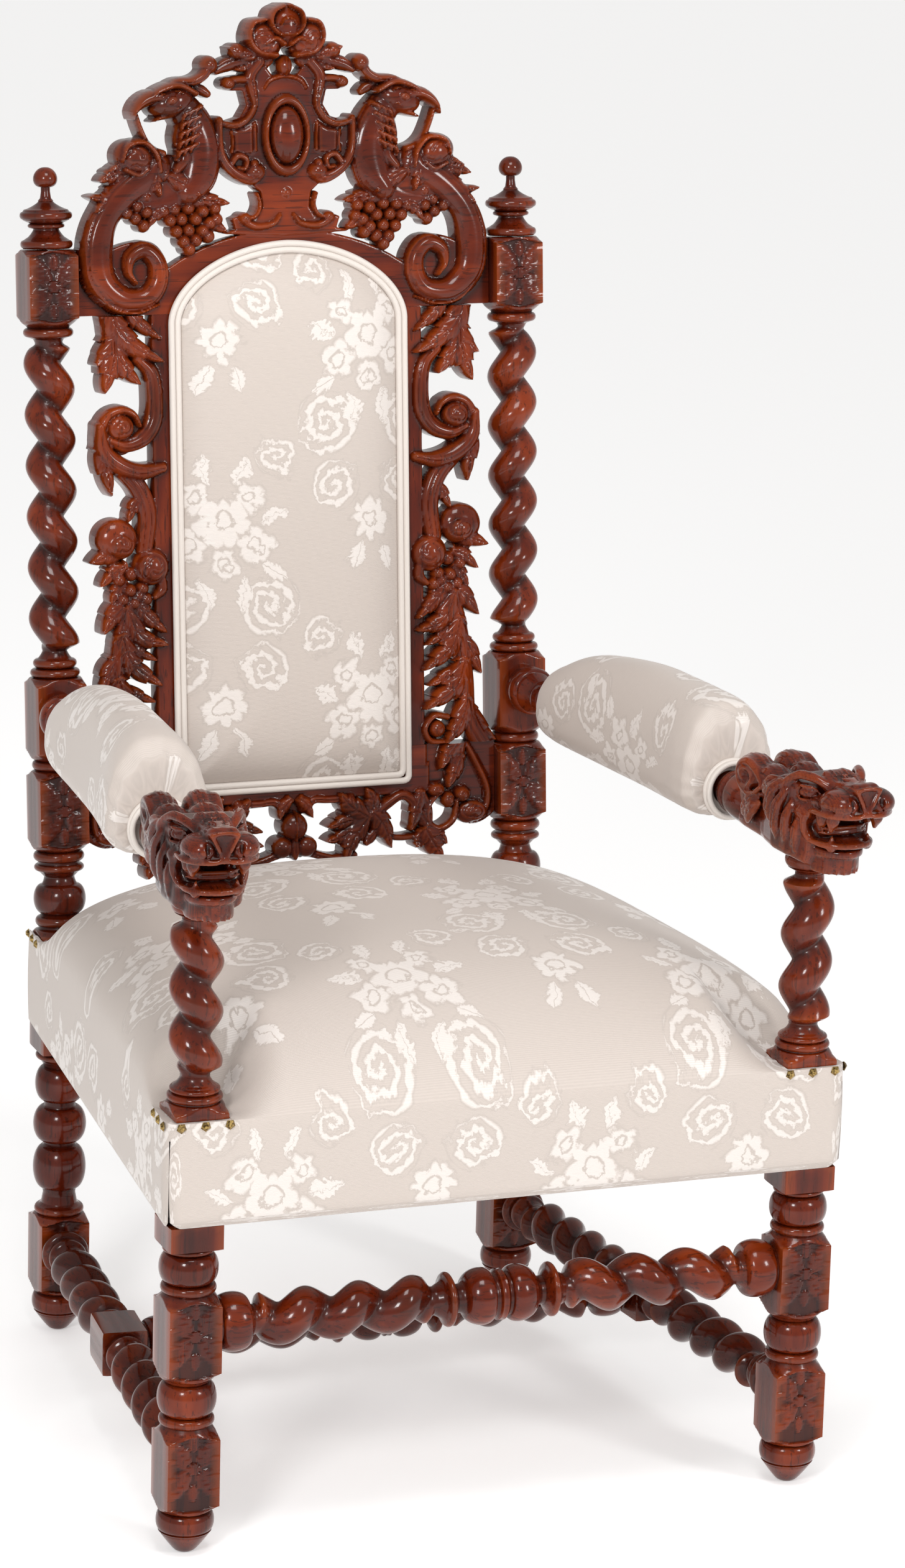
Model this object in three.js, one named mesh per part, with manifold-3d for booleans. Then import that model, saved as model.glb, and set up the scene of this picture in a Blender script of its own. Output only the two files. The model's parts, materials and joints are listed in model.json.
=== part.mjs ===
// Carved throne armchair: turned oak posts with barley twists, a pierced and carved back,
// and an upholstered seat, back and arms.
// Millimetres, +Z up, the front faces -Y, the origin is on the floor under the middle of the chair.
import * as THREE from 'three';
import { mergeVertices } from 'three/addons/utils/BufferGeometryUtils.js';
import Module from 'manifold-3d';

const wasm = await Module();
wasm.setup();

// ---- driving dimensions ----
const frontHalf = 330; // post centres from the middle plane, at the front
const backHalf = 268; // and at the back
const depth = 654; // front post centres to back post centres
const rake = 0.1002; // lean of the back, radians
const rakeStart = 420; // height where the back posts begin to lean
const blockHalf = 28; // half the side of the square post blocks
const gap = 0.3; // clearance left between touching pieces
const sliver = 0.2; // joined faces closer than this become one
const tenonHalf = 24; // half the side of the front posts inside the seat
const setIn = 3.5; // the arm supports stand this far inside the front legs
const cloth = 4.5; // cloth and padding over the outer faces of the posts
const armHeight = 703; // centre line of the arms
const seatBottom = 349; // lower edge of the seat cloth
const seatEdge = 458; // where the crown of the seat begins
const seatCrown = 120; // rise of the crown above its edge
const railThickness = 24;
const railTop = 440;
const stretcherHeight = 100; // centre line of the side and cross stretchers
const frontStretcherHeight = 237;
const boardBack = -10; // back face of the carved boards, measured forwards of the post centres
const boardFront = 14; // flat front face of the carved boards
const carved = 20; // front of the leaves and scrolls standing on them
const knob = 28; // front of the flowers, fruit and heads
const joint = { crest: 711, rail: 222 }; // joints between crest, stiles and bottom rail, up the back
const padHalf = 138; // outer edge of the welt round the back pad
const padTop = 788;
const padBottom = 180;
const padShoulder = 700; // where the sides of the pad turn into its arch
const archPower = 1.85; // superellipse power of the arch
const openingInset = 14; // how far the welt laps over the frame

const supportHalf = frontHalf - setIn;
const armLength = Math.hypot(supportHalf - backHalf, depth + 28);
const armAngle = Math.asin((supportHalf - backHalf) / armLength);

// ---- materials ----
const oak = new THREE.MeshStandardMaterial({ color: 0x5a1d0c, roughness: 0.3, metalness: 0 });
const darkOak = new THREE.MeshStandardMaterial({ color: 0x3a140b, roughness: 0.4, metalness: 0 });
const plainOak = new THREE.MeshStandardMaterial({ color: 0x8a6a48, roughness: 0.8, metalness: 0 });
const damask = new THREE.MeshStandardMaterial({ color: 0xd9cfc6, roughness: 0.5, metalness: 0 });
const brass = new THREE.MeshStandardMaterial({ color: 0x8f7440, roughness: 0.35, metalness: 0.9 });

// ---- solids: joining, cutting and placing ----
function toSolid(geometry) {
  const bare = geometry.index ? geometry.toNonIndexed() : geometry.clone();
  bare.deleteAttribute('normal');
  bare.deleteAttribute('uv');
  const merged = mergeVertices(bare, 1e-4);
  const vertProperties = new Float32Array(merged.attributes.position.array);
  const triVerts = new Uint32Array(merged.index.array);
  return new wasm.Manifold(new wasm.Mesh({ numProp: 3, vertProperties, triVerts }));
}

// Faces of a joined solid that lie in one plane are merged, and slivers go with them.
function toGeometry(solid) {
  const mesh = solid.asOriginal().simplify(sliver).getMesh();
  const geometry = new THREE.BufferGeometry();
  geometry.setAttribute('position', new THREE.BufferAttribute(new Float32Array(mesh.vertProperties), 3));
  geometry.setIndex(new THREE.BufferAttribute(new Uint32Array(mesh.triVerts), 1));
  geometry.computeVertexNormals();
  return geometry;
}

function join(geometries) {
  const solids = geometries.map(toSolid);
  const total = solids.slice(1).reduce((sum, solid) => sum.add(solid), solids[0]);
  return toGeometry(total);
}

function cut(geometry, tools) {
  const rest = tools.map(toSolid).reduce((left, tool) => left.subtract(tool), toSolid(geometry));
  return toGeometry(rest);
}

function common(first, second) {
  return toGeometry(toSolid(first).intersect(toSolid(second)));
}

function mirrored(geometry) {
  const copy = geometry.index ? geometry.toNonIndexed() : geometry.clone();
  const position = copy.attributes.position;
  for (let i = 0; i < position.count; i += 3) {
    const corners = [0, 2, 1].map((k) => new THREE.Vector3().fromBufferAttribute(position, i + k));
    corners.forEach((p, k) => position.setXYZ(i + k, -p.x, p.y, p.z));
  }
  return copy;
}

function box(x0, x1, y0, y1, z0, z1) {
  const geometry = new THREE.BoxGeometry(x1 - x0, y1 - y0, z1 - z0);
  return geometry.translate((x0 + x1) / 2, (y0 + y1) / 2, (z0 + z1) / 2);
}

// ---- turned work: a stack of rings joined by a skin ----
// A ring is { z, at(angle) -> radius }. The skin runs through all rings and closes flat at both ends.
function skin(rings, sides, place) {
  const points = [];
  for (const ring of rings) {
    for (let k = 0; k < sides; k += 1) {
      const angle = (2 * Math.PI * k) / sides;
      const radius = ring.at(angle);
      points.push(place(radius * Math.cos(angle), radius * Math.sin(angle), ring.z));
    }
  }
  const index = [];
  for (let i = 0; i + 1 < rings.length; i += 1) {
    for (let k = 0; k < sides; k += 1) {
      const a = i * sides + k;
      const b = i * sides + ((k + 1) % sides);
      index.push(a, b, b + sides, a, b + sides, a + sides);
    }
  }
  const last = (rings.length - 1) * sides;
  for (let k = 1; k + 1 < sides; k += 1) {
    index.push(0, k + 1, k);
    index.push(last, last + k, last + k + 1);
  }
  const geometry = new THREE.BufferGeometry();
  const flat = points.flatMap((p) => [p.x, p.y, p.z]);
  geometry.setAttribute('position', new THREE.BufferAttribute(new Float32Array(flat), 3));
  geometry.setIndex(index);
  return geometry.toNonIndexed();
}

const round = (z, radius) => [{ z, at: () => radius }];

const square = (z, half) => {
  const at = (angle) => half / Math.max(Math.abs(Math.cos(angle)), Math.abs(Math.sin(angle)));
  return [{ z, at }];
};

const bead = (z, radius, height) => [...round(z - height / 2, radius), ...round(z + height / 2, radius)];

const ball = (z, radius, height) => [
  ...round(z - height * 0.42, radius * 0.76),
  ...round(z, radius),
  ...round(z + height * 0.42, radius * 0.76),
];

// A square block whose four faces end in low arches: the corners stop short of the face middles.
const block = (bottom, top, arch) => [
  ...round(bottom - arch, blockHalf),
  ...square(bottom, blockHalf),
  ...square(top, blockHalf),
  ...round(top + arch, blockHalf),
];

// A single-start twist: a round section whose bulge turns about the axis once every pitch.
// hand is +1 or -1, and the bulge points to angle `facing` at height `mark`.
function twist(from, to, { outer, waist, pitch, hand, mark, facing }) {
  const quarter = pitch / 4;
  const first = Math.ceil((from - mark) / quarter + 0.2);
  const rings = [];
  for (let k = first; mark + k * quarter < to - 0.2 * quarter; k += 1) {
    const lean = facing + hand * k * (Math.PI / 2);
    const at = (angle) => waist + (outer - waist) * Math.abs(Math.cos((angle - lean) / 2)) ** 1.25;
    rings.push({ z: mark + k * quarter, at });
  }
  return rings;
}

// ---- the posts ----
const upBack = (v) => rakeStart + v; // heights on the back are measured up its slope

function backPlace(centreX) {
  return (x, y, z) => {
    const up = Math.max(z - rakeStart, 0);
    const level = Math.min(z, rakeStart);
    const leanY = y * Math.cos(rake) + up * Math.sin(rake);
    const leanZ = level + up * Math.cos(rake) - (up > 0 ? y * Math.sin(rake) : 0);
    return new THREE.Vector3(centreX + x, depth + (up > 0 ? leanY : y), leanZ);
  };
}

const foot = [...round(0, 10), ...round(21, 25), ...round(33, 29), ...round(44, 24)];

function backPost(side) {
  const hand = side;
  const facing = side < 0 ? Math.PI : 0;
  const barley = { outer: 27.5, waist: 12, pitch: 55.3, hand, mark: upBack(659), facing };
  const rings = [
    ...foot,
    ...block(54, 128, 8),
    ...bead(141, 27, 5),
    ...ball(190, 29, 46),
    ...round(214, 17),
    ...ball(240, 29, 40),
    ...round(262, 17),
    ...ball(286, 27, 36),
    ...round(309, 19),
    ...bead(319, 27, 6),
    ...square(327, blockHalf),
    ...square(upBack(34), blockHalf),
    ...round(upBack(42), blockHalf),
    ...round(upBack(54), 27),
    ...ball(upBack(75), 28.5, 34),
    ...round(upBack(101), 18),
    ...bead(upBack(118), 28, 16),
    ...block(upBack(138), upBack(210), 7),
    ...round(upBack(224), 27),
    ...block(upBack(239), upBack(312), 7),
    ...bead(upBack(326), 27, 6),
    ...round(upBack(346), 15),
    ...twist(upBack(350), upBack(680), barley),
    ...round(upBack(684), 14),
    ...round(upBack(697), 27),
    ...block(upBack(711), upBack(778), 6),
  ];
  return skin(rings, 8, backPlace(side * backHalf));
}

function finial(side) {
  const rings = [
    ...bead(upBack(789.5), 28, 9),
    ...round(upBack(800), 18),
    ...round(upBack(808), 14),
    ...round(upBack(820), 28.5),
    ...round(upBack(829), 22),
    ...round(upBack(838), 6),
    ...round(upBack(850), 5),
    ...ball(upBack(861), 11, 20),
    ...round(upBack(872), 3),
  ];
  return skin(rings, 8, backPlace(side * backHalf));
}

function frontPost(side) {
  const barley = side < 0
    ? { outer: 27, waist: 14, pitch: 50.5, hand: -1, mark: 636, facing: Math.PI }
    : { outer: 27, waist: 14, pitch: 55.5, hand: 1, mark: 624, facing: 0 };
  const rings = [
    ...foot,
    ...block(54, 122, 9),
    ...round(140, 27),
    ...ball(163, 30, 36),
    ...round(183, 24),
    ...block(195, 262, 9),
    ...round(280, 27),
    ...ball(300, 30, 34),
    ...round(317, 24),
    ...square(325, blockHalf),
    ...square(seatBottom - gap, blockHalf),
    ...square(seatBottom, tenonHalf),
    ...square(seatEdge + gap, tenonHalf),
    ...square(seatEdge + gap + 0.1, blockHalf),
    ...square(seatEdge + 4, blockHalf),
    ...round(seatEdge + 12, blockHalf),
    ...bead(481, 28, 9),
    ...round(498, 15.5),
    ...twist(500, 650, barley),
    ...round(655, 14),
    ...bead(671, 26, 14.6),
  ];
  const place = (x, y, z) => new THREE.Vector3(side * (z < seatBottom ? frontHalf : supportHalf) + x, y, z);
  return skin(rings, 8, place);
}

// ---- stretchers ----
// Each runs between two points at one height; distances are measured from its middle.
function alongLine(from, to) {
  const direction = new THREE.Vector3().subVectors(to, from).normalize();
  const middle = new THREE.Vector3().addVectors(from, to).multiplyScalar(0.5);
  const upward = new THREE.Vector3(0, 0, 1);
  const across = new THREE.Vector3().crossVectors(direction, upward);
  return (x, y, z) => middle.clone()
    .addScaledVector(upward, x)
    .addScaledVector(across, y)
    .addScaledVector(direction, z);
}

const reversed = (rings) => rings.map((ring) => ({ ...ring, z: -ring.z })).reverse();

function vaseStretcher(from, to, radius, pitch) {
  const half = from.distanceTo(to) / 2 - gap;
  const barley = { outer: radius, waist: radius * 0.5, pitch, hand: 1, mark: 95, facing: 0 };
  const right = [
    ...round(0, radius * 0.92),
    ...round(8, radius * 0.8),
    ...round(23, radius),
    ...round(42, radius * 0.55),
    ...bead(56, radius * 0.97, 6),
    ...round(68, radius * 0.6),
    ...twist(76, half - 46, barley),
    ...round(half - 42, radius * 0.5),
    ...round(half - 33, radius * 0.6),
    ...round(half - 16, radius * 1.04),
    ...round(half, radius * 0.92),
  ];
  return skin([...reversed(right.slice(1)), ...right], 6, alongLine(from, to));
}

function sideStretcher(side) {
  const start = new THREE.Vector3(side * (frontHalf - 2.7), blockHalf + gap, stretcherHeight);
  const end = new THREE.Vector3(side * (backHalf + 2.7), depth - blockHalf - gap, stretcherHeight);
  const half = start.distanceTo(end) / 2 - 2.8;
  const blockLength = 33;
  const barley = { outer: 26, waist: 13, pitch: 50, hand: side, mark: 75, facing: 0 };
  const arm = [
    ...round(blockLength - 1, 20),
    ...round(46, 22),
    ...round(56, 15),
    ...twist(62, half - 42, barley),
    ...round(half - 36, 14),
    ...bead(half - 22, 21, 10),
    ...round(half - 10, 26),
    ...round(half, 24),
  ];
  const place = alongLine(start, end);
  const cube = [...square(-blockLength, 24), ...square(blockLength, 24)];
  return join([
    skin(arm, 6, place),
    skin(reversed(arm), 6, place),
    skin(cube, 8, place),
  ]);
}

// ---- carved boards: shapes drawn on the back, u across and v up its slope ----
const backFrame = new THREE.Matrix4()
  .makeBasis(
    new THREE.Vector3(1, 0, 0),
    new THREE.Vector3(0, Math.sin(rake), Math.cos(rake)),
    new THREE.Vector3(0, -Math.cos(rake), Math.sin(rake)),
  )
  .setPosition(0, depth, rakeStart);

// A flat piece of board from the shared back face up to `front`.
function plate(shape, front, segments = 2, back = boardBack) {
  const settings = { depth: front - back, bevelEnabled: false, curveSegments: segments };
  return new THREE.ExtrudeGeometry(shape, settings).translate(0, 0, back);
}

// A strip along a smooth line; widths are spread evenly along it.
function band(path, widths, front, steps = 4) {
  const curve = new THREE.CatmullRomCurve3(path.map(([u, v]) => new THREE.Vector3(u, v, 0)));
  const left = [];
  const right = [];
  for (let i = 0; i <= steps; i += 1) {
    const t = i / steps;
    const place = t * (widths.length - 1);
    const low = Math.min(Math.floor(place), widths.length - 2);
    const width = THREE.MathUtils.lerp(widths[low], widths[low + 1], place - low);
    const p = curve.getPoint(t);
    const along = curve.getTangent(t);
    left.push(new THREE.Vector2(p.x - along.y * width / 2, p.y + along.x * width / 2));
    right.unshift(new THREE.Vector2(p.x + along.y * width / 2, p.y - along.x * width / 2));
  }
  return plate(new THREE.Shape([...left, ...right]), front);
}

// A leaf from its foot to its tip, bulging to each side by half its width.
function leaf([u0, v0], [u1, v1], width, front) {
  const length = Math.hypot(u1 - u0, v1 - v0);
  const [nu, nv] = [-(v1 - v0) / length * width, (u1 - u0) / length * width];
  const [mu, mv] = [u0 * 0.45 + u1 * 0.55, v0 * 0.45 + v1 * 0.55];
  const shape = new THREE.Shape();
  shape.moveTo(u0 + nu * 0.2, v0 + nv * 0.2);
  shape.lineTo(u0 - nu * 0.2, v0 - nv * 0.2);
  shape.quadraticCurveTo(mu - nu * 0.85, mv - nv * 0.85, u1, v1);
  shape.quadraticCurveTo(mu + nu * 0.85, mv + nv * 0.85, u0 + nu * 0.2, v0 + nv * 0.2);
  return plate(shape, front, 2);
}

// A rounded boss standing on the board: half an egg, radius ru by rv, turned by `angle`.
function boss([u, v], ru, rv, front, angle = 0, sides = 6) {
  const rings = [...round(boardBack, 1), ...round(front, 0.65)];
  const shape = skin(rings, sides, (x, y, z) => new THREE.Vector3(x * ru, y * rv, z));
  return shape.rotateZ(angle).translate(u, v, 0);
}

function disc([u, v], radius, front, sides = 8) {
  const shape = new THREE.CylinderGeometry(radius, radius, front - boardBack, sides);
  return shape.rotateX(Math.PI / 2).translate(u, v, (front + boardBack) / 2);
}

const berry = ([u, v], radius, front) => boss([u, v], radius, radius, front, 0.4, 5);

// Points of the arch round the back pad, from its right shoulder over the top to the middle.
function archPoints(half, top, steps) {
  const points = [];
  for (let i = 0; i <= steps; i += 1) {
    const angle = (i / steps) * (Math.PI / 2);
    const u = half * Math.cos(angle) ** (2 / archPower);
    const v = padShoulder + (top - padShoulder) * Math.sin(angle) ** (2 / archPower);
    points.push(new THREE.Vector2(u, v));
  }
  return points;
}

function padOutline(inset, steps) {
  const half = padHalf - inset;
  const right = archPoints(half, padTop - inset, steps);
  const left = right.slice(0, -1).reverse().map((p) => new THREE.Vector2(-p.x, p.y));
  const corners = [new THREE.Vector2(-half, padBottom + inset), new THREE.Vector2(half, padBottom + inset)];
  return new THREE.Shape([...right, ...left, ...corners]);
}

function bothSides(pieces) {
  return [...pieces, ...pieces.map(mirrored)];
}

function trimmed(pieces, low, high) {
  const window = box(-backHalf + blockHalf + gap, backHalf - blockHalf - gap, low, high, -20, 60);
  const opening = plate(padOutline(openingInset - gap, 7), 60, 3, -30);
  return cut(common(join(pieces), window), [opening]);
}

// ---- the crest ----
function crestGriffin() {
  const neck = band([[114, 934], [106, 905], [103, 876], [112, 846]], [40, 46, 44, 40], carved);
  const body = band([[106, 850], [132, 824], [166, 815], [200, 802], [216, 770]], [34, 32, 32, 40, 34], carved, 5);
  const scrollPath = [[214, 786], [222, 756], [204, 727], [174, 722], [150, 740], [150, 768], [176, 780], [192, 762]];
  const scroll = band(scrollPath, [38, 24, 20, 19, 18, 17, 14, 10], carved, 10);
  const head = boss([132, 937], 27, 18, knob, -0.25);
  const upperBeak = band([[146, 944], [161, 942], [171, 934], [174, 924]], [18, 15, 9, 2], carved, 4);
  const lowerBeak = leaf([128, 928], [150, 918], 12, carved);
  const stalk = band([[168, 926], [163, 905], [160, 892]], [8, 8, 9], carved, 3);
  const crown = band([[128, 952], [104, 957], [91, 966], [86, 980]], [14, 18, 13, 12], carved, 4);
  return [neck, body, disc([184, 756], 43, boardFront, 10), scroll, head, upperBeak, lowerBeak, stalk, crown,
    disc([87, 978], 10, carved, 6)];
}

function crestFruit() {
  const pieces = [boss([150, 848], 50, 32, carved, -0.4), boss([178, 880], 22, 21, knob), boss([162, 852], 22, 14, knob, 0.6)];
  pieces.push(leaf([182, 858], [224, 862], 28, carved), leaf([186, 842], [229, 837], 30, carved));
  pieces.push(leaf([112, 838], [73, 829], 20, carved), boss([104, 804], 24, 18, carved, -0.9));
  for (const [u, v] of [[132, 822], [108, 824], [92, 808], [122, 802], [106, 790]]) {
    pieces.push(berry([u, v], 10, carved));
  }
  return pieces;
}

function cartoucheHalf() {
  const shape = new THREE.Shape();
  shape.moveTo(0, 796);
  shape.lineTo(58, 799);
  shape.quadraticCurveTo(66, 818, 48, 817);
  shape.quadraticCurveTo(34, 809, 28, 824);
  shape.quadraticCurveTo(29, 840, 39, 846);
  shape.quadraticCurveTo(76, 852, 80, 884);
  shape.lineTo(80, 921);
  shape.quadraticCurveTo(46, 910, 45, 936);
  shape.quadraticCurveTo(48, 952, 62, 949);
  shape.quadraticCurveTo(78, 954, 68, 964);
  shape.quadraticCurveTo(46, 966, 36, 983);
  shape.quadraticCurveTo(22, 980, 14, 966);
  shape.lineTo(0, 966);
  const border = band([[31, 980], [40, 962], [36, 940], [47, 920], [74, 905]], [9, 11, 8, 9, 7], carved, 4);
  const lowerCurl = band([[77, 890], [70, 868], [48, 858], [34, 866]], [8, 12, 15, 17], carved, 4);
  return [plate(shape, boardFront), border, lowerCurl];
}

function crestLeaves() {
  const wide = [boss([23, 1004], 17, 27, knob, -0.6), leaf([36, 986], [66, 998], 20, carved)];
  const arm = band([[30, 984], [56, 982], [76, 976]], [14, 15, 12], carved, 3);
  return [...wide, arm];
}

function archBand() {
  const outer = archPoints(178, 800, 6).filter((p) => p.y > joint.crest);
  const inner = archPoints(padHalf - openingInset, padTop - openingInset, 6).filter((p) => p.y > joint.crest);
  const low = joint.crest - 4;
  const edge = [new THREE.Vector2(padHalf - openingInset, low), new THREE.Vector2(178, low)];
  return plate(new THREE.Shape([...outer, ...inner.reverse(), ...edge]), boardFront);
}

function crest() {
  const half = [archBand(), ...crestGriffin(), ...crestFruit(), ...cartoucheHalf(), ...crestLeaves()];
  const wing = box(150, backHalf - blockHalf - gap, joint.crest - 4, 782, boardBack, 4);
  const middle = [boss([0, 901.5], 28, 44, knob, 0, 8), boss([0, 1021], 24, 19, knob), boss([0, 977], 9, 13, carved)];
  return trimmed([...bothSides([...half, wing]), ...middle], joint.crest + gap / 2, 1060);
}

// ---- the pierced stiles: right-hand one, the left is its mirror image ----
function stileHalf() {
  const inner = padHalf - openingInset;
  const strip = box(inner, 157, joint.rail - 4, joint.crest + 4, boardBack, boardFront);
  const pieces = [strip];
  pieces.push(band([[204, 716], [190, 690], [168, 672], [145, 663]], [22, 26, 22, 8], carved, 4));
  pieces.push(band([[182, 716], [166, 698], [148, 688]], [14, 14, 5], carved, 3));
  pieces.push(band([[206, 716], [200, 682], [204, 650], [210, 630]], [22, 28, 30, 10], carved, 4));
  pieces.push(leaf([200, 674], [224, 660], 16, carved), leaf([200, 660], [176, 638], 22, carved));
  pieces.push(band([[172, 664], [158, 640], [156, 606], [166, 580], [190, 570]], [20, 23, 23, 20, 14], carved, 5));
  pieces.push(disc([194, 590], 26, boardFront, 8), boss([193, 591], 17, 17, knob));
  pieces.push(band([[217, 594], [212, 564], [190, 546], [166, 541], [145, 545]], [12, 20, 20, 19, 8], carved, 4));
  pieces.push(band([[214, 572], [209, 544], [210, 520]], [14, 18, 22], carved, 2));
  pieces.push(band([[192, 546], [170, 518], [162, 486], [172, 448]], [22, 26, 22, 26], carved, 4));
  pieces.push(leaf([176, 516], [185, 488], 18, carved));
  pieces.push(boss([200, 467], 24, 23, knob), boss([161, 438], 20, 21, knob), boss([186, 440], 20, 30, carved));
  pieces.push(leaf([196, 455], [236, 445], 22, carved), leaf([194, 434], [227, 417], 24, carved));
  pieces.push(leaf([192, 414], [215, 399], 20, carved), leaf([188, 396], [229, 367], 30, carved));
  for (const [u, v] of [[186, 426], [172, 410], [186, 402]]) pieces.push(berry([u, v], 10, carved));
  pieces.push(band([[182, 400], [196, 350], [204, 300], [210, 250], [226, 216]], [16, 20, 22, 22, 26], carved, 4));
  pieces.push(leaf([180, 392], [146, 370], 18, carved), leaf([184, 380], [146, 350], 26, carved));
  pieces.push(leaf([194, 352], [156, 312], 26, carved), leaf([200, 310], [157, 264], 26, carved));
  pieces.push(leaf([206, 328], [226, 300], 20, carved), leaf([206, 280], [180, 232], 24, carved));
  pieces.push(disc([170, 238], 17, carved, 6));
  return pieces;
}

function stile(side) {
  const pieces = side < 0 ? stileHalf().map(mirrored) : stileHalf();
  return trimmed(pieces, joint.rail + gap / 2, joint.crest - gap / 2);
}

// ---- the pierced bottom rail ----
function railHalf() {
  const inner = padHalf - openingInset;
  const low = padBottom - 12;
  const strip = box(-1, 160, low, padBottom + openingInset, boardBack, boardFront);
  const upright = box(inner, 157, low, joint.rail + 4, boardBack, boardFront);
  const bracket = new THREE.Shape();
  bracket.moveTo(150, joint.rail + 4);
  bracket.lineTo(232, joint.rail + 4);
  bracket.lineTo(244, 216);
  bracket.lineTo(244, 146);
  bracket.quadraticCurveTo(228, 126, 206, 132);
  bracket.lineTo(186, 150);
  bracket.lineTo(150, 176);
  const pieces = [strip, upright, plate(bracket, 8), boss([213, 146], 20, 14, carved)];
  pieces.push(band([[196, 226], [218, 196], [229, 166], [222, 140]], [10, 10, 10, 8], carved, 4));
  pieces.push(band([[186, 230], [184, 204], [182, 176]], [20, 22, 14], carved, 3));
  pieces.push(boss([168, 170], 10, 8, carved), boss([182, 160], 9, 9, carved), boss([198, 162], 11, 8, carved));
  pieces.push(band([[190, 152], [186, 134], [168, 128], [152, 138], [156, 164]], [8, 10, 10, 10, 12], carved, 5));
  pieces.push(leaf([150, 168], [140, 128], 22, carved), leaf([158, 136], [172, 92], 30, carved));
  pieces.push(leaf([166, 124], [178, 110], 20, carved), band([[154, 114], [128, 118], [104, 116]], [8, 7, 8], boardFront, 3));
  pieces.push(band([[148, 140], [134, 160], [112, 158], [96, 146]], [12, 12, 12, 14], carved, 4));
  pieces.push(leaf([92, 156], [112, 110], 30, carved), leaf([96, 140], [80, 118], 18, carved));
  pieces.push(leaf([86, 178], [88, 150], 24, carved), leaf([62, 176], [78, 144], 28, carved));
  pieces.push(leaf([84, 150], [40, 134], 22, carved), leaf([86, 142], [62, 100], 28, carved));
  pieces.push(band([[66, 106], [40, 102], [14, 106]], [14, 8, 9], boardFront, 3));
  pieces.push(band([[62, 172], [40, 166], [16, 158]], [16, 9, 16], carved, 3), boss([12, 162], 11, 12, carved));
  pieces.push(boss([14, 114], 13, 12, carved));
  return pieces;
}

function backRail() {
  const bud = boss([0, 138], 15, 16, carved);
  const column = box(-9, 9, 108, 172, boardBack, 10);
  return trimmed([...bothSides(railHalf()), bud, column], 60, joint.rail - gap / 2);
}

// ---- the arms ----
// Built along +Y from the front post axis, the lion facing -Y, then turned in line with the back post.
function placeArm(geometry, side) {
  const turned = side < 0 ? mirrored(geometry) : geometry.clone();
  return turned.rotateZ(side * armAngle).translate(side * supportHalf, 0, 0);
}

function egg([x, y, z], rx, ry, rz, sides = 6) {
  return new THREE.SphereGeometry(1, sides, 3).scale(rx, ry, rz).translate(x, y, z);
}

const lionBack = -100; // the block behind the lion's head starts here
const lionJaw = 704; // height of the lower lip

function lionProfile() {
  const shape = new THREE.Shape();
  const underside = 679;
  shape.moveTo(lionBack, underside);
  shape.lineTo(36, underside);
  shape.lineTo(44, 671);
  shape.lineTo(76, 671);
  shape.lineTo(86, 690);
  shape.lineTo(90, lionJaw);
  shape.lineTo(84, 711);
  shape.lineTo(46, 712);
  shape.lineTo(44, 724);
  shape.lineTo(60, 738);
  shape.lineTo(104, 740);
  shape.lineTo(114, 752);
  shape.lineTo(108, 771);
  shape.lineTo(56, 764);
  shape.lineTo(40, 772);
  shape.lineTo(0, 766);
  shape.lineTo(-30, 750);
  shape.lineTo(lionBack, 738);
  return shape;
}

function lionPlan() {
  const half = [[lionBack, 25], [-54, 29], [-40, 36], [-14, 44], [14, 45], [42, 37], [62, 35], [100, 35], [114, 22]];
  const left = half.map(([t, s]) => new THREE.Vector2(-s, t));
  const right = half.map(([t, s]) => new THREE.Vector2(s, t)).reverse();
  return new THREE.Shape([...left, ...right]);
}

function lionHead() {
  const wide = new THREE.ExtrudeGeometry(lionProfile(), { depth: 120, bevelEnabled: false });
  wide.translate(0, 0, -60).applyMatrix4(new THREE.Matrix4().makeBasis(
    new THREE.Vector3(0, -1, 0),
    new THREE.Vector3(0, 0, 1),
    new THREE.Vector3(-1, 0, 0),
  ));
  const tall = new THREE.ExtrudeGeometry(lionPlan(), { depth: 160, bevelEnabled: false });
  tall.translate(0, 0, 640).rotateZ(Math.PI);
  const pairs = [
    egg([19, -88, 755], 17, 25, 16),
    egg([21, -38, 758], 20, 18, 14),
    egg([20, 80, 745], 19, 25, 20),
    egg([34, -22, 726], 13, 26, 24),
    egg([25, -86, 732], 6, 6, 14, 5),
    egg([20, -78, 712], 5, 5, 10, 5),
  ];
  const below = lionJaw - 4;
  const sides = [box(31, 70, -46, 120, 600, below), box(24, 70, -130, -44, 600, below)];
  const head = join([common(wide, tall), ...bothSides(pairs), egg([0, -20, 764], 14, 30, 10)]);
  return cut(head, bothSides(sides));
}

function arm(side) {
  const reach = armLength - (blockHalf + gap) / Math.cos(armAngle);
  // The last ring lies in the leaning front face of the back post.
  const level = (x, y, z) => {
    const slant = x * Math.tan(rake) - y * Math.tan(armAngle);
    return new THREE.Vector3(y, z > reach - 1 ? z + slant : z, armHeight + x);
  };
  const rod = skin([
    ...round(96, 24),
    ...round(146, 24),
    ...round(154, 26.5),
    ...round(168, 26.5),
    ...round(172, 17),
    ...round(reach - 96, 17),
    ...round(reach - 78, 16),
    ...round(reach - 66, 21),
    ...round(reach - 50, 21),
    ...round(reach - 40, 16),
    ...round(reach - 24, 27),
    ...round(reach - 8, 27),
    ...round(reach, 23),
  ], 8, level);
  return placeArm(join([rod, lionHead()]), side);
}

// One ring of an arm pad: a squarish oval, taller above the arm than below it.
function oval(z, half, up, down) {
  const power = 2.35;
  const at = (angle) => {
    const rise = Math.abs(Math.cos(angle)) / (Math.cos(angle) > 0 ? up : down);
    return (rise ** power + (Math.abs(Math.sin(angle)) / half) ** power) ** (-1 / power);
  };
  return [{ z, at }];
}

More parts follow.
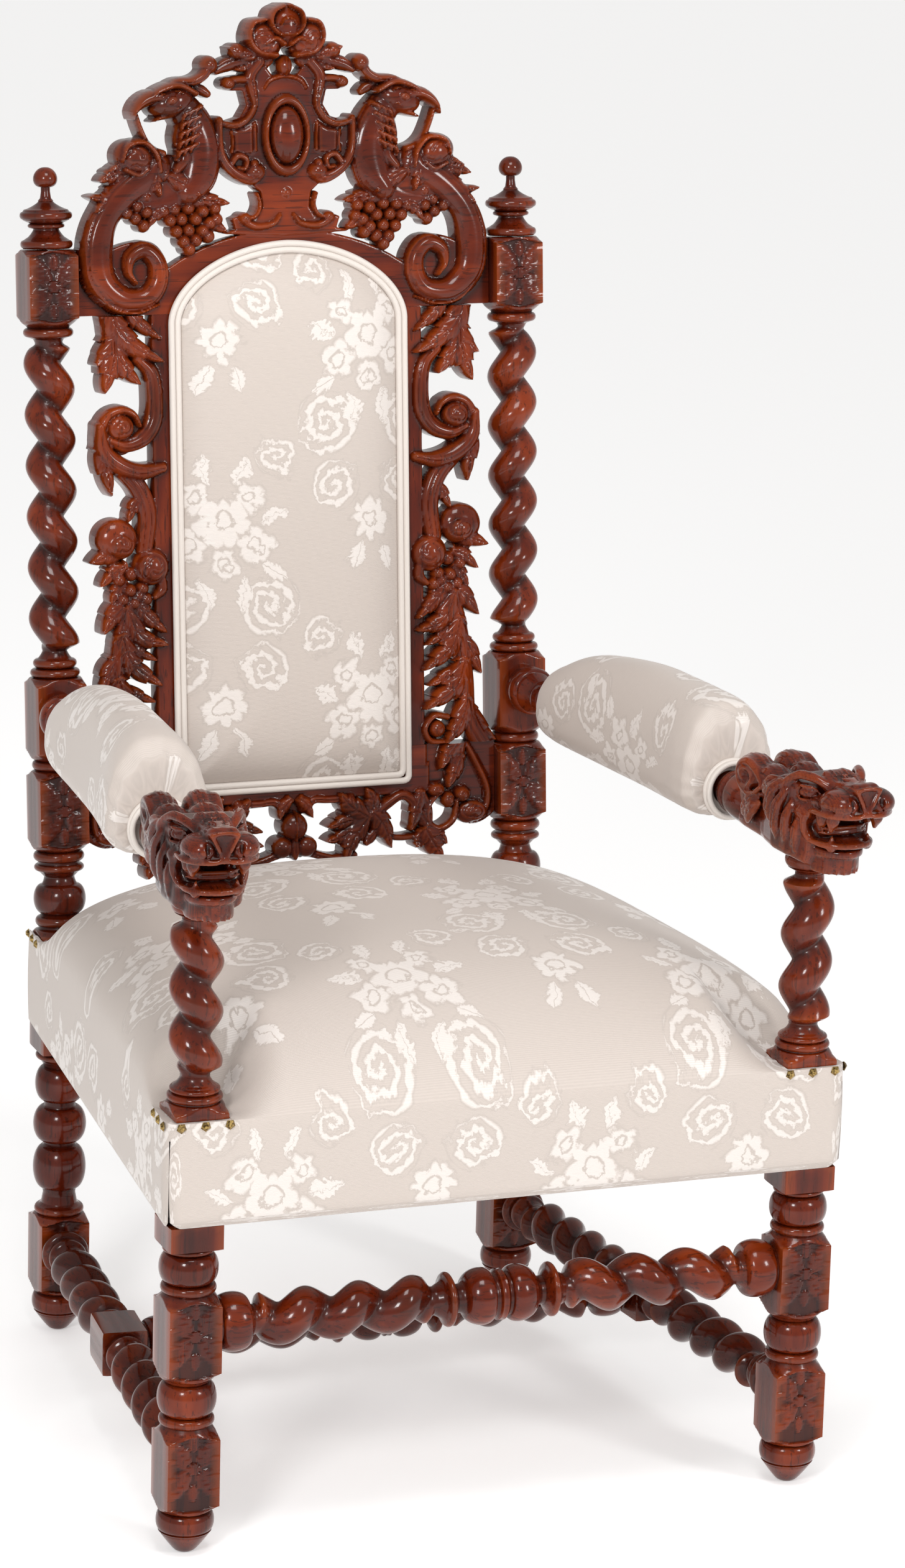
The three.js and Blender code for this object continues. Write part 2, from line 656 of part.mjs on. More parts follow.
function armPad(side) {
  const from = 172.5;
  const to = 566;
  const rings = [
    [0, 46, 74, 26],
    [0.03, 55, 90, 32],
    [0.12, 50, 95, 33],
    [0.35, 45, 96, 34],
    [0.65, 44, 85, 35],
    [0.88, 45, 61, 35],
    [0.97, 38, 44, 31],
    [1, 26, 26, 22],
  ];
  const level = (x, y, z) => new THREE.Vector3(y, z, armHeight + x);
  const outside = skin(rings.flatMap(([t, ...sizes]) => oval(from + t * (to - from), ...sizes)), 12, level);
  const bore = skin([...round(from - 9, 18.5), ...round(to + 9, 18.5)], 8, level);
  return placeArm(cut(outside, [bore]), side);
}

// ---- the seat ----
const seatFront = -blockHalf - cloth;
const seatBack = depth + blockHalf + cloth;
const sideSlope = (frontHalf - backHalf) / depth;
const cornerTuck = 5; // the cloth is drawn in round the corners
const clothHalf = (y) => frontHalf + blockHalf + cloth - sideSlope * y;

// Crown of the seat: two flattened arches multiplied together, eased down round the four posts.
function crownHeight(x, y) {
  const across = Math.min(Math.abs(x) / clothHalf(y), 1);
  const middle = seatFront + 0.42 * (seatBack - seatFront);
  const along = y < middle ? (middle - y) / (middle - seatFront) : (y - middle) / (seatBack - middle);
  const arch = (1 - across ** 2.4) ** 0.42 * (1 - Math.min(along, 1) ** 3.4) ** 0.8;
  const postX = y < depth / 2 ? frontHalf : backHalf;
  const postY = y < depth / 2 ? 0 : depth;
  const away = Math.max(Math.abs(Math.abs(x) - postX), Math.abs(y - postY));
  const ease = THREE.MathUtils.smoothstep(away, blockHalf - 6, blockHalf + 70);
  return seatEdge + seatCrown * arch * ease;
}

function seatShell() {
  const columns = 14;
  const rows = 13;
  const points = [];
  const spread = (k, n) => 0.5 - 0.5 * Math.cos((Math.PI * k) / n);
  for (const top of [true, false]) {
    for (let j = 0; j <= rows; j += 1) {
      const y = seatFront + (seatBack - seatFront) * spread(j, rows);
      for (let i = 0; i <= columns; i += 1) {
        const tuck = j === 0 || j === rows ? cornerTuck : 0;
        const x = (clothHalf(y) - tuck) * (2 * spread(i, columns) - 1);
        points.push(x, y, top ? crownHeight(x, y) : seatBottom);
      }
    }
  }
  const wide = columns + 1;
  const under = wide * (rows + 1);
  const index = [];
  for (let j = 0; j < rows; j += 1) {
    for (let i = 0; i < columns; i += 1) {
      const a = j * wide + i;
      index.push(a, a + 1, a + wide + 1, a, a + wide + 1, a + wide);
      index.push(under + a, under + a + wide + 1, under + a + 1, under + a, under + a + wide, under + a + wide + 1);
    }
  }
  const wall = (a, b) => index.push(a, under + a, under + b, a, under + b, b);
  for (let i = 0; i < columns; i += 1) {
    wall(i, i + 1);
    wall(rows * wide + i + 1, rows * wide + i);
  }
  for (let j = 0; j < rows; j += 1) {
    wall((j + 1) * wide, j * wide);
    wall(j * wide + columns, (j + 1) * wide + columns);
  }
  const geometry = new THREE.BufferGeometry();
  geometry.setAttribute('position', new THREE.BufferAttribute(new Float32Array(points), 3));
  geometry.setIndex(index);
  return geometry;
}

function seatPad() {
  const holes = [];
  for (const side of [-1, 1]) {
    const front = tenonHalf + gap;
    const half = blockHalf + 5 * gap; // the turned ball above the seat is wider than the block
    const plinth = blockHalf + gap;
    const [inner, outer] = [supportHalf - plinth, supportHalf + 99];
    holes.push(box(side * supportHalf - front, side * supportHalf + front, -front, front, 300, 700));
    holes.push(box(side * (side < 0 ? outer : inner), side * (side < 0 ? inner : outer), -99, plinth, seatEdge, 700));
    holes.push(box(side * backHalf - half, side * backHalf + half, depth - half, depth + half + 3, 300, 700));
  }
  const inner = new THREE.Shape();
  const low = -blockHalf - gap;
  const high = depth + blockHalf + gap;
  const edge = (y) => clothHalf(y) - cloth + gap;
  inner.moveTo(-edge(low), low);
  inner.lineTo(edge(low), low);
  inner.lineTo(edge(high), high);
  inner.lineTo(-edge(high), high);
  const hollow = new THREE.ExtrudeGeometry(inner, { depth: railTop + gap - 300, bevelEnabled: false });
  return cut(seatShell(), [hollow.translate(0, 0, 300), ...holes]);
}

function seatRails() {
  const front = supportHalf - tenonHalf - gap;
  const back = backHalf - blockHalf - gap;
  const rails = {
    seat_rail_front: box(-front, front, -blockHalf, railThickness - blockHalf, seatBottom + 1, railTop),
    seat_rail_back: box(-back, back, depth + 2, depth + 2 + railThickness, seatBottom + 1, rakeStart - 2),
  };
  for (const [name, side] of [['seat_rail_left', -1], ['seat_rail_right', 1]]) {
    const plan = new THREE.Shape();
    const start = tenonHalf + gap;
    const end = depth - blockHalf - gap;
    const edge = (y) => side * (clothHalf(y) - cloth);
    const inside = (y) => side * (clothHalf(y) - cloth - railThickness);
    plan.moveTo(edge(start), start);
    plan.lineTo(edge(end), end);
    plan.lineTo(inside(end), end);
    plan.lineTo(inside(start), start);
    const settings = { depth: railTop - seatBottom - 1, bevelEnabled: false };
    rails[name] = new THREE.ExtrudeGeometry(plan, settings).translate(0, 0, seatBottom + 1);
  }
  return rails;
}

// ---- the back pad: a plug in the frame, a lip over its edge and a crowned front ----
function backPad() {
  const settings = {
    depth: 9,
    bevelEnabled: true,
    bevelThickness: 14,
    bevelSize: 26,
    bevelOffset: -26,
    bevelSegments: 2,
    curveSegments: 3,
  };
  const lip = plate(padOutline(0, 7), boardFront + 9, 3, boardFront + gap);
  const crown = new THREE.ExtrudeGeometry(padOutline(10, 6), settings).translate(0, 0, boardFront + 8);
  const plug = plate(padOutline(openingInset, 7), boardFront + 4, 3, boardBack + 2);
  const front = box(-300, 300, 0, 1000, boardFront + 4, 99);
  return join([lip, common(crown, front), plug]);
}

// ---- brass nails at the seat corners ----
function nail(x, y, z, outward) {
  const dome = new THREE.CylinderGeometry(2.4, 5.5, 3.2, 5).rotateX(Math.PI / 2);
  const facing = new THREE.Quaternion().setFromUnitVectors(new THREE.Vector3(0, 0, 1), outward);
  return dome.translate(0, 0, 1.6 + gap).applyQuaternion(facing).translate(x, y, z);
}

function nailRows() {
  const height = 454;
  const nails = {};
  for (const [name, side] of [['left', -1], ['right', 1]]) {
    const outward = new THREE.Vector3(side, sideSlope, 0).normalize();
    [-20, 2, 24].forEach((y, k) => {
      nails[`nail_front_${name}_side_${k + 1}`] = nail(side * clothHalf(y), y, height, outward);
      const backY = depth + y - 2;
      nails[`nail_back_${name}_side_${k + 1}`] = nail(side * clothHalf(backY), backY, height, outward);
    });
    [350, 325, 300].forEach((x, k) => {
      nails[`nail_front_${name}_face_${k + 1}`] = nail(side * x, seatFront, height, new THREE.Vector3(0, -1, 0));
    });
  }
  return nails;
}

// ---- the chair ----
const chair = new THREE.Group();

function addPiece(name, geometry, material) {
  const mesh = new THREE.Mesh(geometry, material.clone());
  mesh.name = name;
  chair.add(mesh);
}

function addBoard(name, geometry) {
  addPiece(name, geometry.applyMatrix4(backFrame), oak);
}

for (const [name, side] of [['left', -1], ['right', 1]]) {
  addPiece(`back_post_${name}`, backPost(side), oak);
  addPiece(`finial_${name}`, finial(side), oak);
  addPiece(`front_post_${name}`, frontPost(side), oak);
  addPiece(`side_stretcher_${name}`, sideStretcher(side), darkOak);
  addPiece(`arm_${name}`, arm(side), oak);
  addPiece(`arm_pad_${name}`, armPad(side), damask);
  addBoard(`stile_${name}`, stile(side));
}
addBoard('crest', crest());
addBoard('back_rail', backRail());
addPiece('back_pad', backPad().applyMatrix4(backFrame), damask);
addPiece('seat_pad', seatPad(), damask);
for (const [name, geometry] of Object.entries(seatRails())) addPiece(name, geometry, plainOak);

const frontEnd = new THREE.Vector3(frontHalf - blockHalf, 0, frontStretcherHeight);
addPiece('front_stretcher', vaseStretcher(frontEnd.clone().multiply(new THREE.Vector3(-1, 1, 1)), frontEnd, 28.5, 57), oak);
const crossY = depth / 2;
const crossHalf = (frontHalf + backHalf) / 2 - 24 / Math.cos(armAngle) - 24 * Math.tan(armAngle);
const crossStart = new THREE.Vector3(-crossHalf, crossY, stretcherHeight);
const crossEnd = new THREE.Vector3(crossHalf, crossY, stretcherHeight);
addPiece('cross_stretcher', vaseStretcher(crossStart, crossEnd, 24, 52), darkOak);
for (const [name, geometry] of Object.entries(nailRows())) addPiece(name, geometry, brass);

const bounds = new THREE.Box3().setFromObject(chair);
const middle = bounds.getCenter(new THREE.Vector3());
chair.position.set(-middle.x, -middle.y, -bounds.min.z);
chair.updateMatrixWorld(true);

export default chair;
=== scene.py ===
# Carved throne armchair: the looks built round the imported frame.
import json
import bpy
import numpy as np
from mathutils import Matrix, Vector
from mathutils.geometry import delaunay_2d_cdt


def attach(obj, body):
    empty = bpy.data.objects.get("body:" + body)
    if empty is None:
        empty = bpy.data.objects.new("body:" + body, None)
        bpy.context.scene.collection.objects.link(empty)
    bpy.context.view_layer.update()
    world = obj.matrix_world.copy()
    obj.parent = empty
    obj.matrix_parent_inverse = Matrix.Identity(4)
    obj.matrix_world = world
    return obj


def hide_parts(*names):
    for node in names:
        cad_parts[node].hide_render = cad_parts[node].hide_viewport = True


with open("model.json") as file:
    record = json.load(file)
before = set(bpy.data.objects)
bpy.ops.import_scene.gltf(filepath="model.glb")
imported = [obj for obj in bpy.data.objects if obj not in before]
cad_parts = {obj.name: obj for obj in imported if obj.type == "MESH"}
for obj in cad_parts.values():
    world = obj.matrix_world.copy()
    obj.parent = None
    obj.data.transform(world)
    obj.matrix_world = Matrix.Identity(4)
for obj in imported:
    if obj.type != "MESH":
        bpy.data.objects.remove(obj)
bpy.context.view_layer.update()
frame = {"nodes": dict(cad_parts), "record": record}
scene = bpy.context.scene
nodes = frame["nodes"]
feet = {m["name"]: m["pos_m"] for m in frame["record"]["mounts"]}
print("frame: %d nodes" % len(nodes))

# Work is in millimetres, with y = 0 at the front post axes, as a chair maker's drawing has it.
frontY = feet["foot_front_right"][1]
frontHalf = feet["foot_front_right"][0] * 1000
backHalf = feet["foot_back_right"][0] * 1000
depth = (feet["foot_back_right"][1] - frontY) * 1000
body = {
    "gap": 0.3, "rake": 0.1002, "rakeStart": 420.0, "blockHalf": 28.0, "tenonHalf": 24.0, "setIn": 3.5,
    "cloth": 4.5, "armHeight": 703.0, "seatBottom": 349.3, "seatEdge": 458.0, "seatCrown": 118.0,
    "stretcherHeight": 100.0, "frontStretcherHeight": 237.0, "boardBack": -10.0, "boardFront": 14.0,
    "padHalf": 138.0, "padTop": 788.0, "padBottom": 180.0, "padShoulder": 700.0, "archPower": 1.85,
}
supportHalf = frontHalf - body["setIn"]
armAngle = np.arcsin((supportHalf - backHalf) / np.hypot(supportHalf - backHalf, depth + 28))

# Camera.
eye = {"x": -1.8933, "ahead": 4.7632, "z": 2.0690, "yaw": 21.0033, "pitch": 14.2358, "roll": 1.5797,
    "lens": 122.77}
yaw, pitch, roll = (np.radians(eye[k]) for k in ("yaw", "pitch", "roll"))
forward = np.array([np.sin(yaw) * np.cos(pitch), np.cos(yaw) * np.cos(pitch), -np.sin(pitch)])
level = np.cross(forward, [0, 0, 1])
level /= np.linalg.norm(level)
upward = np.cross(level, forward)
across = level * np.cos(roll) + upward * np.sin(roll)
upright = upward * np.cos(roll) - level * np.sin(roll)
camera = bpy.data.objects.new("camera", bpy.data.cameras.new("camera"))
scene.collection.objects.link(camera)
camera.data.lens = eye["lens"]
camera.data.sensor_width = 36
camera.data.clip_end = 50
camera.matrix_world = Matrix((
    (across[0], upright[0], -forward[0], eye["x"]),
    (across[1], upright[1], -forward[1], frontY - eye["ahead"]),
    (across[2], upright[2], -forward[2], eye["z"]),
    (0, 0, 0, 1)))
scene.camera = camera

# Floor and light.
studio = {
    "floor": (0.90, 0.90, 0.90), "floorGlow": 0.34, "world": (1.0, 0.99, 0.98), "worldPower": 0.60,
    "lamps": [  # place, aim, size across and up, watts
        ((-2.6, -3.2, 2.6), (0, 0, 0.7), 0.75, 1.0, 74),
        ((2.2, -3.4, 2.3), (0, 0, 0.7), 0.65, 1.0, 50),
        ((-0.3, -1.2, 3.4), (0, 0, 0.6), 1.0, 1.0, 34),
    ],
}


def softMaterial(name, colour, roughness):
    made = bpy.data.materials.new(name)
    made.use_nodes = True
    shader = made.node_tree.nodes["Principled BSDF"]
    shader.inputs["Base Color"].default_value = (*colour, 1)
    shader.inputs["Roughness"].default_value = roughness
    return made


floorMesh = bpy.data.meshes.new("floor")
floorMesh.from_pydata([(-30, -30, 0), (30, -30, 0), (30, 30, 0), (-30, 30, 0)], [], [(0, 1, 2, 3)])
floor = bpy.data.objects.new("floor", floorMesh)
floor.data.materials.append(softMaterial("pale floor", studio["floor"], 0.6))
scene.collection.objects.link(floor)
floorShader = floor.data.materials[0].node_tree.nodes["Principled BSDF"]
floorShader.inputs["Emission Color"].default_value = (1, 1, 1, 1)
floorShader.inputs["Emission Strength"].default_value = studio["floorGlow"]
scene.world = scene.world or bpy.data.worlds.new("studio")
scene.world.use_nodes = True
sky = scene.world.node_tree.nodes["Background"]
sky.inputs["Color"].default_value = (*studio["world"], 1)
sky.inputs["Strength"].default_value = studio["worldPower"]
for k, (place, aim, wide, tall, power) in enumerate(studio["lamps"]):
    light = bpy.data.lights.new("lamp %d" % k, "AREA")
    light.shape, light.size, light.size_y, light.energy = "RECTANGLE", wide, tall, power
    lamp = bpy.data.objects.new("lamp %d" % k, light)
    lamp.location = place
    lamp.rotation_euler = (Vector(aim) - Vector(place)).to_track_quat("-Z", "Y").to_euler()
    scene.collection.objects.link(lamp)
scene.view_settings.view_transform = "Standard"
print("camera, floor and lamps")

# Meshes from whole arrays.
def toFrame(points):
    return points * 0.001 + np.array([0, frontY, 0])


def outward(points, faceSets):
    # A closed shell's signed volume is the sum of a . (b x c) / 6: if it is negative, every face is
    # turned round.
    volume = 0.0
    for f in faceSets:
        for k in range(1, f.shape[1] - 1):
            a, b, c = points[f[:, 0]], points[f[:, k]], points[f[:, k + 1]]
            volume += np.einsum("ij,ij->", a, np.cross(b, c))
    return faceSets if volume > 0 else [f[:, ::-1] for f in faceSets]


def addPiece(name, points, faceSets, material, stands=(), spots=None, uv=None, crisp=50):
    # Puts points and faces of three or four corners into one object on the root body. spots are values
    # per point.
    faceSets = outward(points, [f for f in faceSets if len(f)])
    corners = np.concatenate([f.ravel() for f in faceSets]).astype(np.int32)
    sizes = np.concatenate([np.full(len(f), f.shape[1]) for f in faceSets])
    starts = np.concatenate([[0], np.cumsum(sizes)[:-1]]).astype(np.int32)
    mesh = bpy.data.meshes.new(name)
    mesh.vertices.add(len(points))
    mesh.vertices.foreach_set("co", toFrame(points).astype(np.float32).ravel())
    mesh.loops.add(len(corners))
    mesh.loops.foreach_set("vertex_index", corners)
    mesh.polygons.add(len(starts))
    mesh.polygons.foreach_set("loop_start", starts)
    mesh.polygons.foreach_set("use_smooth", np.ones(len(starts), bool))
    mesh.update(calc_edges=True)
    for key, values in (spots or {}).items():
        mesh.attributes.new(key, "FLOAT", "POINT").data.foreach_set("value", values.astype(np.float32))
    if uv is not None:
        mesh.uv_layers.new(name="weave").data.foreach_set("uv", uv[corners].astype(np.float32).ravel())
    mesh.set_sharp_from_angle(angle=np.radians(crisp))
    mesh.materials.append(material)
    piece = bpy.data.objects.new(name, mesh)
    scene.collection.objects.link(piece)
    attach(piece, "root")
    if stands:
        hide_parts(*stands)
    return piece


def gridFaces(rows, columns, closed):
    # Quads of a grid whose point (i, j) is number i * columns + j; closed joins the last column to the
    # first.
    i = np.arange(rows - 1)[:, None]
    j = np.arange(columns if closed else columns - 1)[None, :]
    a, b = i * columns + j, i * columns + (j + 1) % columns
    return np.stack([a, b, b + columns, a + columns], -1).reshape(-1, 4)


def tubeShell(grid):
    # Points and faces of rows of closed rings, shut at both ends by a fan to the ring's middle.
    rows, columns = grid.shape[:2]
    points = np.concatenate([grid.reshape(-1, 3), [grid[0].mean(0), grid[-1].mean(0)]])
    j = np.arange(columns)
    k = (j + 1) % columns
    last = (rows - 1) * columns
    first = np.stack([k, j, np.full(columns, rows * columns)], -1)
    final = np.stack([last + j, last + k, np.full(columns, rows * columns + 1)], -1)
    return points, [gridFaces(rows, columns, True), np.concatenate([first, final])]


def smoothStep(x, low, high):
    t = np.clip((x - low) / (high - low), 0, 1)
    return t * t * (3 - 2 * t)


def softBlur(field, cells):
    # Mean over a square of 2 * cells + 1, from running sums along each axis.
    for axis in (0, 1):
        padded = np.concatenate([np.repeat(np.take(field, [0], axis), cells + 1, axis), field,
                                 np.repeat(np.take(field, [-1], axis), cells, axis)], axis)
        total = np.cumsum(padded, axis)
        wide = 2 * cells + 1
        high = np.take(total, np.arange(wide, total.shape[axis]), axis)
        low = np.take(total, np.arange(0, total.shape[axis] - wide), axis)
        field = (high - low) / wide
    return field

# Finishes.
def addNode(tree, kind, **settings):
    made = tree.nodes.new(kind)
    for key, value in settings.items():
        setattr(made, key, value)
    return made


def mathNode(tree, operation, *values):
    made = addNode(tree, "ShaderNodeMath", operation=operation)
    for socket, value in zip(made.inputs, values):
        if isinstance(value, (int, float)):
            socket.default_value = value
        else:
            tree.links.new(value, socket)
    return made.outputs[0]


def mixColour(tree, amount, low, high, blend="MIX"):
    made = addNode(tree, "ShaderNodeMix", data_type="RGBA", blend_type=blend)
    for socket, value in zip((made.inputs[0], made.inputs[6], made.inputs[7]), (amount, low, high)):
        if isinstance(value, tuple):
            socket.default_value = (*value, 1)
        elif isinstance(value, (int, float)):
            socket.default_value = value
        else:
            tree.links.new(value, socket)
    return made.outputs[2]


def noiseField(tree, place, stretch, scale, detail=3, rough=0.55):
    # Noise on object coordinates, drawn out along the grain by the three stretch factors.
    mapping = addNode(tree, "ShaderNodeMapping")
    mapping.inputs["Scale"].default_value = stretch
    tree.links.new(place, mapping.inputs["Vector"])
    noise = addNode(tree, "ShaderNodeTexNoise")
    noise.inputs["Scale"].default_value = scale
    noise.inputs["Detail"].default_value = detail
    noise.inputs["Roughness"].default_value = rough
    tree.links.new(mapping.outputs[0], noise.inputs["Vector"])
    return noise.outputs[0]


def rampOf(tree, value, stops):
    ramp = addNode(tree, "ShaderNodeValToRGB")
    elements = ramp.color_ramp.elements
    for k, (place, colour) in enumerate(stops):
        element = elements[k] if k < 2 else elements.new(place)
        element.position, element.color = place, (*colour, 1)
    tree.links.new(value, ramp.inputs[0])
    return ramp.outputs[0]


wood = {
    "deep": (0.015, 0.0019, 0.0007), "mid": (0.088, 0.0088, 0.0016), "light": (0.24, 0.032, 0.0040),
    "worn": (0.30, 0.055, 0.0085), "roughness": (0.12, 0.26), "coat": 0.28, "coatRoughness": 0.05,
    "pores": 0.55, "bump": 0.12,
}


def oakFinish(name, grain, tone=1.0, gloss=1.0):
    # Stained and varnished oak, with painted shade darkening its recesses. grain is the axis that the fibres
    # follow.
    made = bpy.data.materials.new(name)
    made.use_nodes = True
    tree = made.node_tree
    shader = tree.nodes["Principled BSDF"]
    place = addNode(tree, "ShaderNodeTexCoord").outputs["Object"]
    fine = tuple(6.0 if axis == grain else 130.0 for axis in "xyz")
    broad = tuple(2.2 if axis == grain else 26.0 for axis in "xyz")
    figure = noiseField(tree, place, broad, 1.0, 5, 0.6)
    patches = noiseField(tree, place, (1, 1, 1), 9.0, 2)
    pores = noiseField(tree, place, fine, 2.2, 2, 0.6)
    # per-point recess mask, 0 to 1: drives painted shade in the hollows, and a rougher finish there
    painted_recess_shade = addNode(tree, "ShaderNodeAttribute", attribute_name="painted_recess_shade").outputs["Fac"]
    wear = addNode(tree, "ShaderNodeAttribute", attribute_name="wear").outputs["Fac"]
    shades = [tuple(c * tone for c in wood[k]) for k in ("deep", "mid", "light", "worn")]
    value = mathNode(tree, "ADD", mathNode(tree, "MULTIPLY", figure, 0.62), mathNode(tree, "MULTIPLY",
        patches, 0.38))
    colour = rampOf(tree, value, [(0.30, shades[0]), (0.70, shades[2]), (0.5, shades[1])])
    poreMask = mathNode(tree, "MULTIPLY", mathNode(tree, "GREATER_THAN", pores, 0.60), wood["pores"])
    colour = mixColour(tree, poreMask, colour, shades[0])
    # painted shade: the colour darkens towards a deeper brown where the recess mask is high
    colour = mixColour(tree, mathNode(tree, "MULTIPLY", painted_recess_shade, 0.85), colour,
        tuple(c * 0.55 for c in shades[0]))
    colour = mixColour(tree, mathNode(tree, "MULTIPLY", wear, 0.4), colour, shades[3])
    tree.links.new(colour, shader.inputs["Base Color"])
    low, high = wood["roughness"]
    roughness = mathNode(tree, "MULTIPLY_ADD", patches, high - low, low / gloss)
    roughness = mathNode(tree, "MULTIPLY_ADD", painted_recess_shade, 0.25, roughness)
    tree.links.new(roughness, shader.inputs["Roughness"])
    shader.inputs["Specular IOR Level"].default_value = 0.20
    shader.inputs["Coat Weight"].default_value = wood["coat"] * gloss
    shader.inputs["Coat Roughness"].default_value = wood["coatRoughness"]
    bump = addNode(tree, "ShaderNodeBump")
    bump.inputs["Strength"].default_value = wood["bump"]
    bump.inputs["Distance"].default_value = 0.0006
    relief = mathNode(tree, "ADD", mathNode(tree, "MULTIPLY", pores, -1.0), mathNode(tree, "MULTIPLY",
        figure, 0.8))
    tree.links.new(relief, bump.inputs["Height"])
    tree.links.new(bump.outputs[0], shader.inputs["Normal"])
    return made


oakUpright = oakFinish("varnished oak, upright grain", "z")
oakLevel = oakFinish("varnished oak, level grain", "x")
oakArm = oakFinish("varnished oak, arm grain", "y")
oakDarkAlong = oakFinish("dark oak, grain front to back", "y", 0.62, 0.9)
oakDarkAcross = oakFinish("dark oak, grain across", "x", 0.62, 0.9)
print("oak finishes")

# Turned work.
turned = {
    "step": 2.5,       # row spacing along plain turning
    "carvedStep": 1.5,  # and over a carved flower
    "columns": 60,
    "edge": 26,        # power of the superellipse that softens the corners of a block
}


def bowedRows(keys, step):
    # Rows (z, r) through keys (z, r, bow): each span is a straight line plus bow * sin(pi t), t eased
    # at both ends.
    zRows, rRows = [], []
    for (z0, r0, *_), (z1, r1, *rest) in zip(keys, keys[1:]):
        bow = rest[0] if rest else 0.0
        span = np.hypot(z1 - z0, r1 - r0) + 1.5 * abs(bow)
        count = max(int(np.ceil(span / step)), 7 if bow else 1)
        t = np.arange(count) / count
        eased = 0.5 - 0.5 * np.cos(np.pi * t) if bow else t
        zRows.append(z0 + (z1 - z0) * eased)
        rRows.append(r0 + (r1 - r0) * eased + bow * np.sin(np.pi * t))
    zRows.append([keys[-1][0]])
    rRows.append([keys[-1][1]])
    return np.concatenate(zRows), np.concatenate(rRows)


def squareAngles(columns):
    # Angles of points spread evenly along the sides of a square, starting at a corner.
    s = (np.arange(columns) + 0.5) / columns * 4
    side = np.floor(s)
    return (side + 0.5) * np.pi / 2 + np.arctan(2 * (s - side) - 1)


def leafRelief(x, y, foot, tip, width, lobes=3.0):
    # Height 0..1 of a lobed leaf: across its width an arch, along it sin(pi a), with a groove down the
    # middle.
    fx, fy = foot
    dx, dy = tip[0] - fx, tip[1] - fy
    length = np.hypot(dx, dy)
    a = ((x - fx) * dx + (y - fy) * dy) / length**2
    w = ((y - fy) * dx - (x - fx) * dy) / length
    inside = np.clip(a, 0, 1)
    half = width / 2 * np.sin(np.pi * inside**0.85) ** 0.8 * (1 - 0.20 * np.abs(np.sin(np.pi * lobes
        * inside)))
    arch = 1 - (np.abs(w) / np.maximum(half, 0.05)) ** 2
    height = np.clip(arch, 0, 1) ** 0.5
    groove = 0.5 * np.exp(-(w / 0.7) ** 2) * smoothStep(inside, 0.08, 0.2) * (1 - smoothStep(inside, 0.85, 1))
    sideVeins = 0.16 * np.clip(np.cos(2 * np.pi * (inside * 5 - np.abs(w) / width * 1.6)), 0, 1) ** 4
    return np.where((a > 0) & (a < 1) & (arch > 0), np.clip(height - groove - sideVeins * (half > 2), 0,
        1), 0)


def flowerRelief(x, y, half, tall):
    # Four lobed leaves to the corners, smaller leaves between them and a flat button, as a height from
    # 0 to 1.
    height = np.zeros_like(x)
    for sx in (-1, 1):
        for sy in (-1, 1):
            tip = (sx * (half - 4.5), sy * (tall - 5.5))
            height = np.maximum(height, leafRelief(x, y, (sx * 3.0, sy * 4.2), tip, half * 0.62, 2.5))
            lobe = (sx * (half - 4.0), sy * (tall * 0.30))
            height = np.maximum(height, 0.85 * leafRelief(x, y, (sx * 5.5, sy * 1.2), lobe, half * 0.36, 1.5))
    for sy in (-1, 1):
        height = np.maximum(height, 0.8 * leafRelief(x, y, (0, sy * tall * 0.45), (0, sy * (tall - 2.0)),
            half * 0.42, 0))
    away = np.hypot(x, y)
    button = np.clip(1.12 * (1 - (away / 6.6) ** 8), 0, 0.95)
    moat = (away > 6.4) & (away < 7.6)
    return np.maximum(np.where(moat, height * 0.2, height), button)


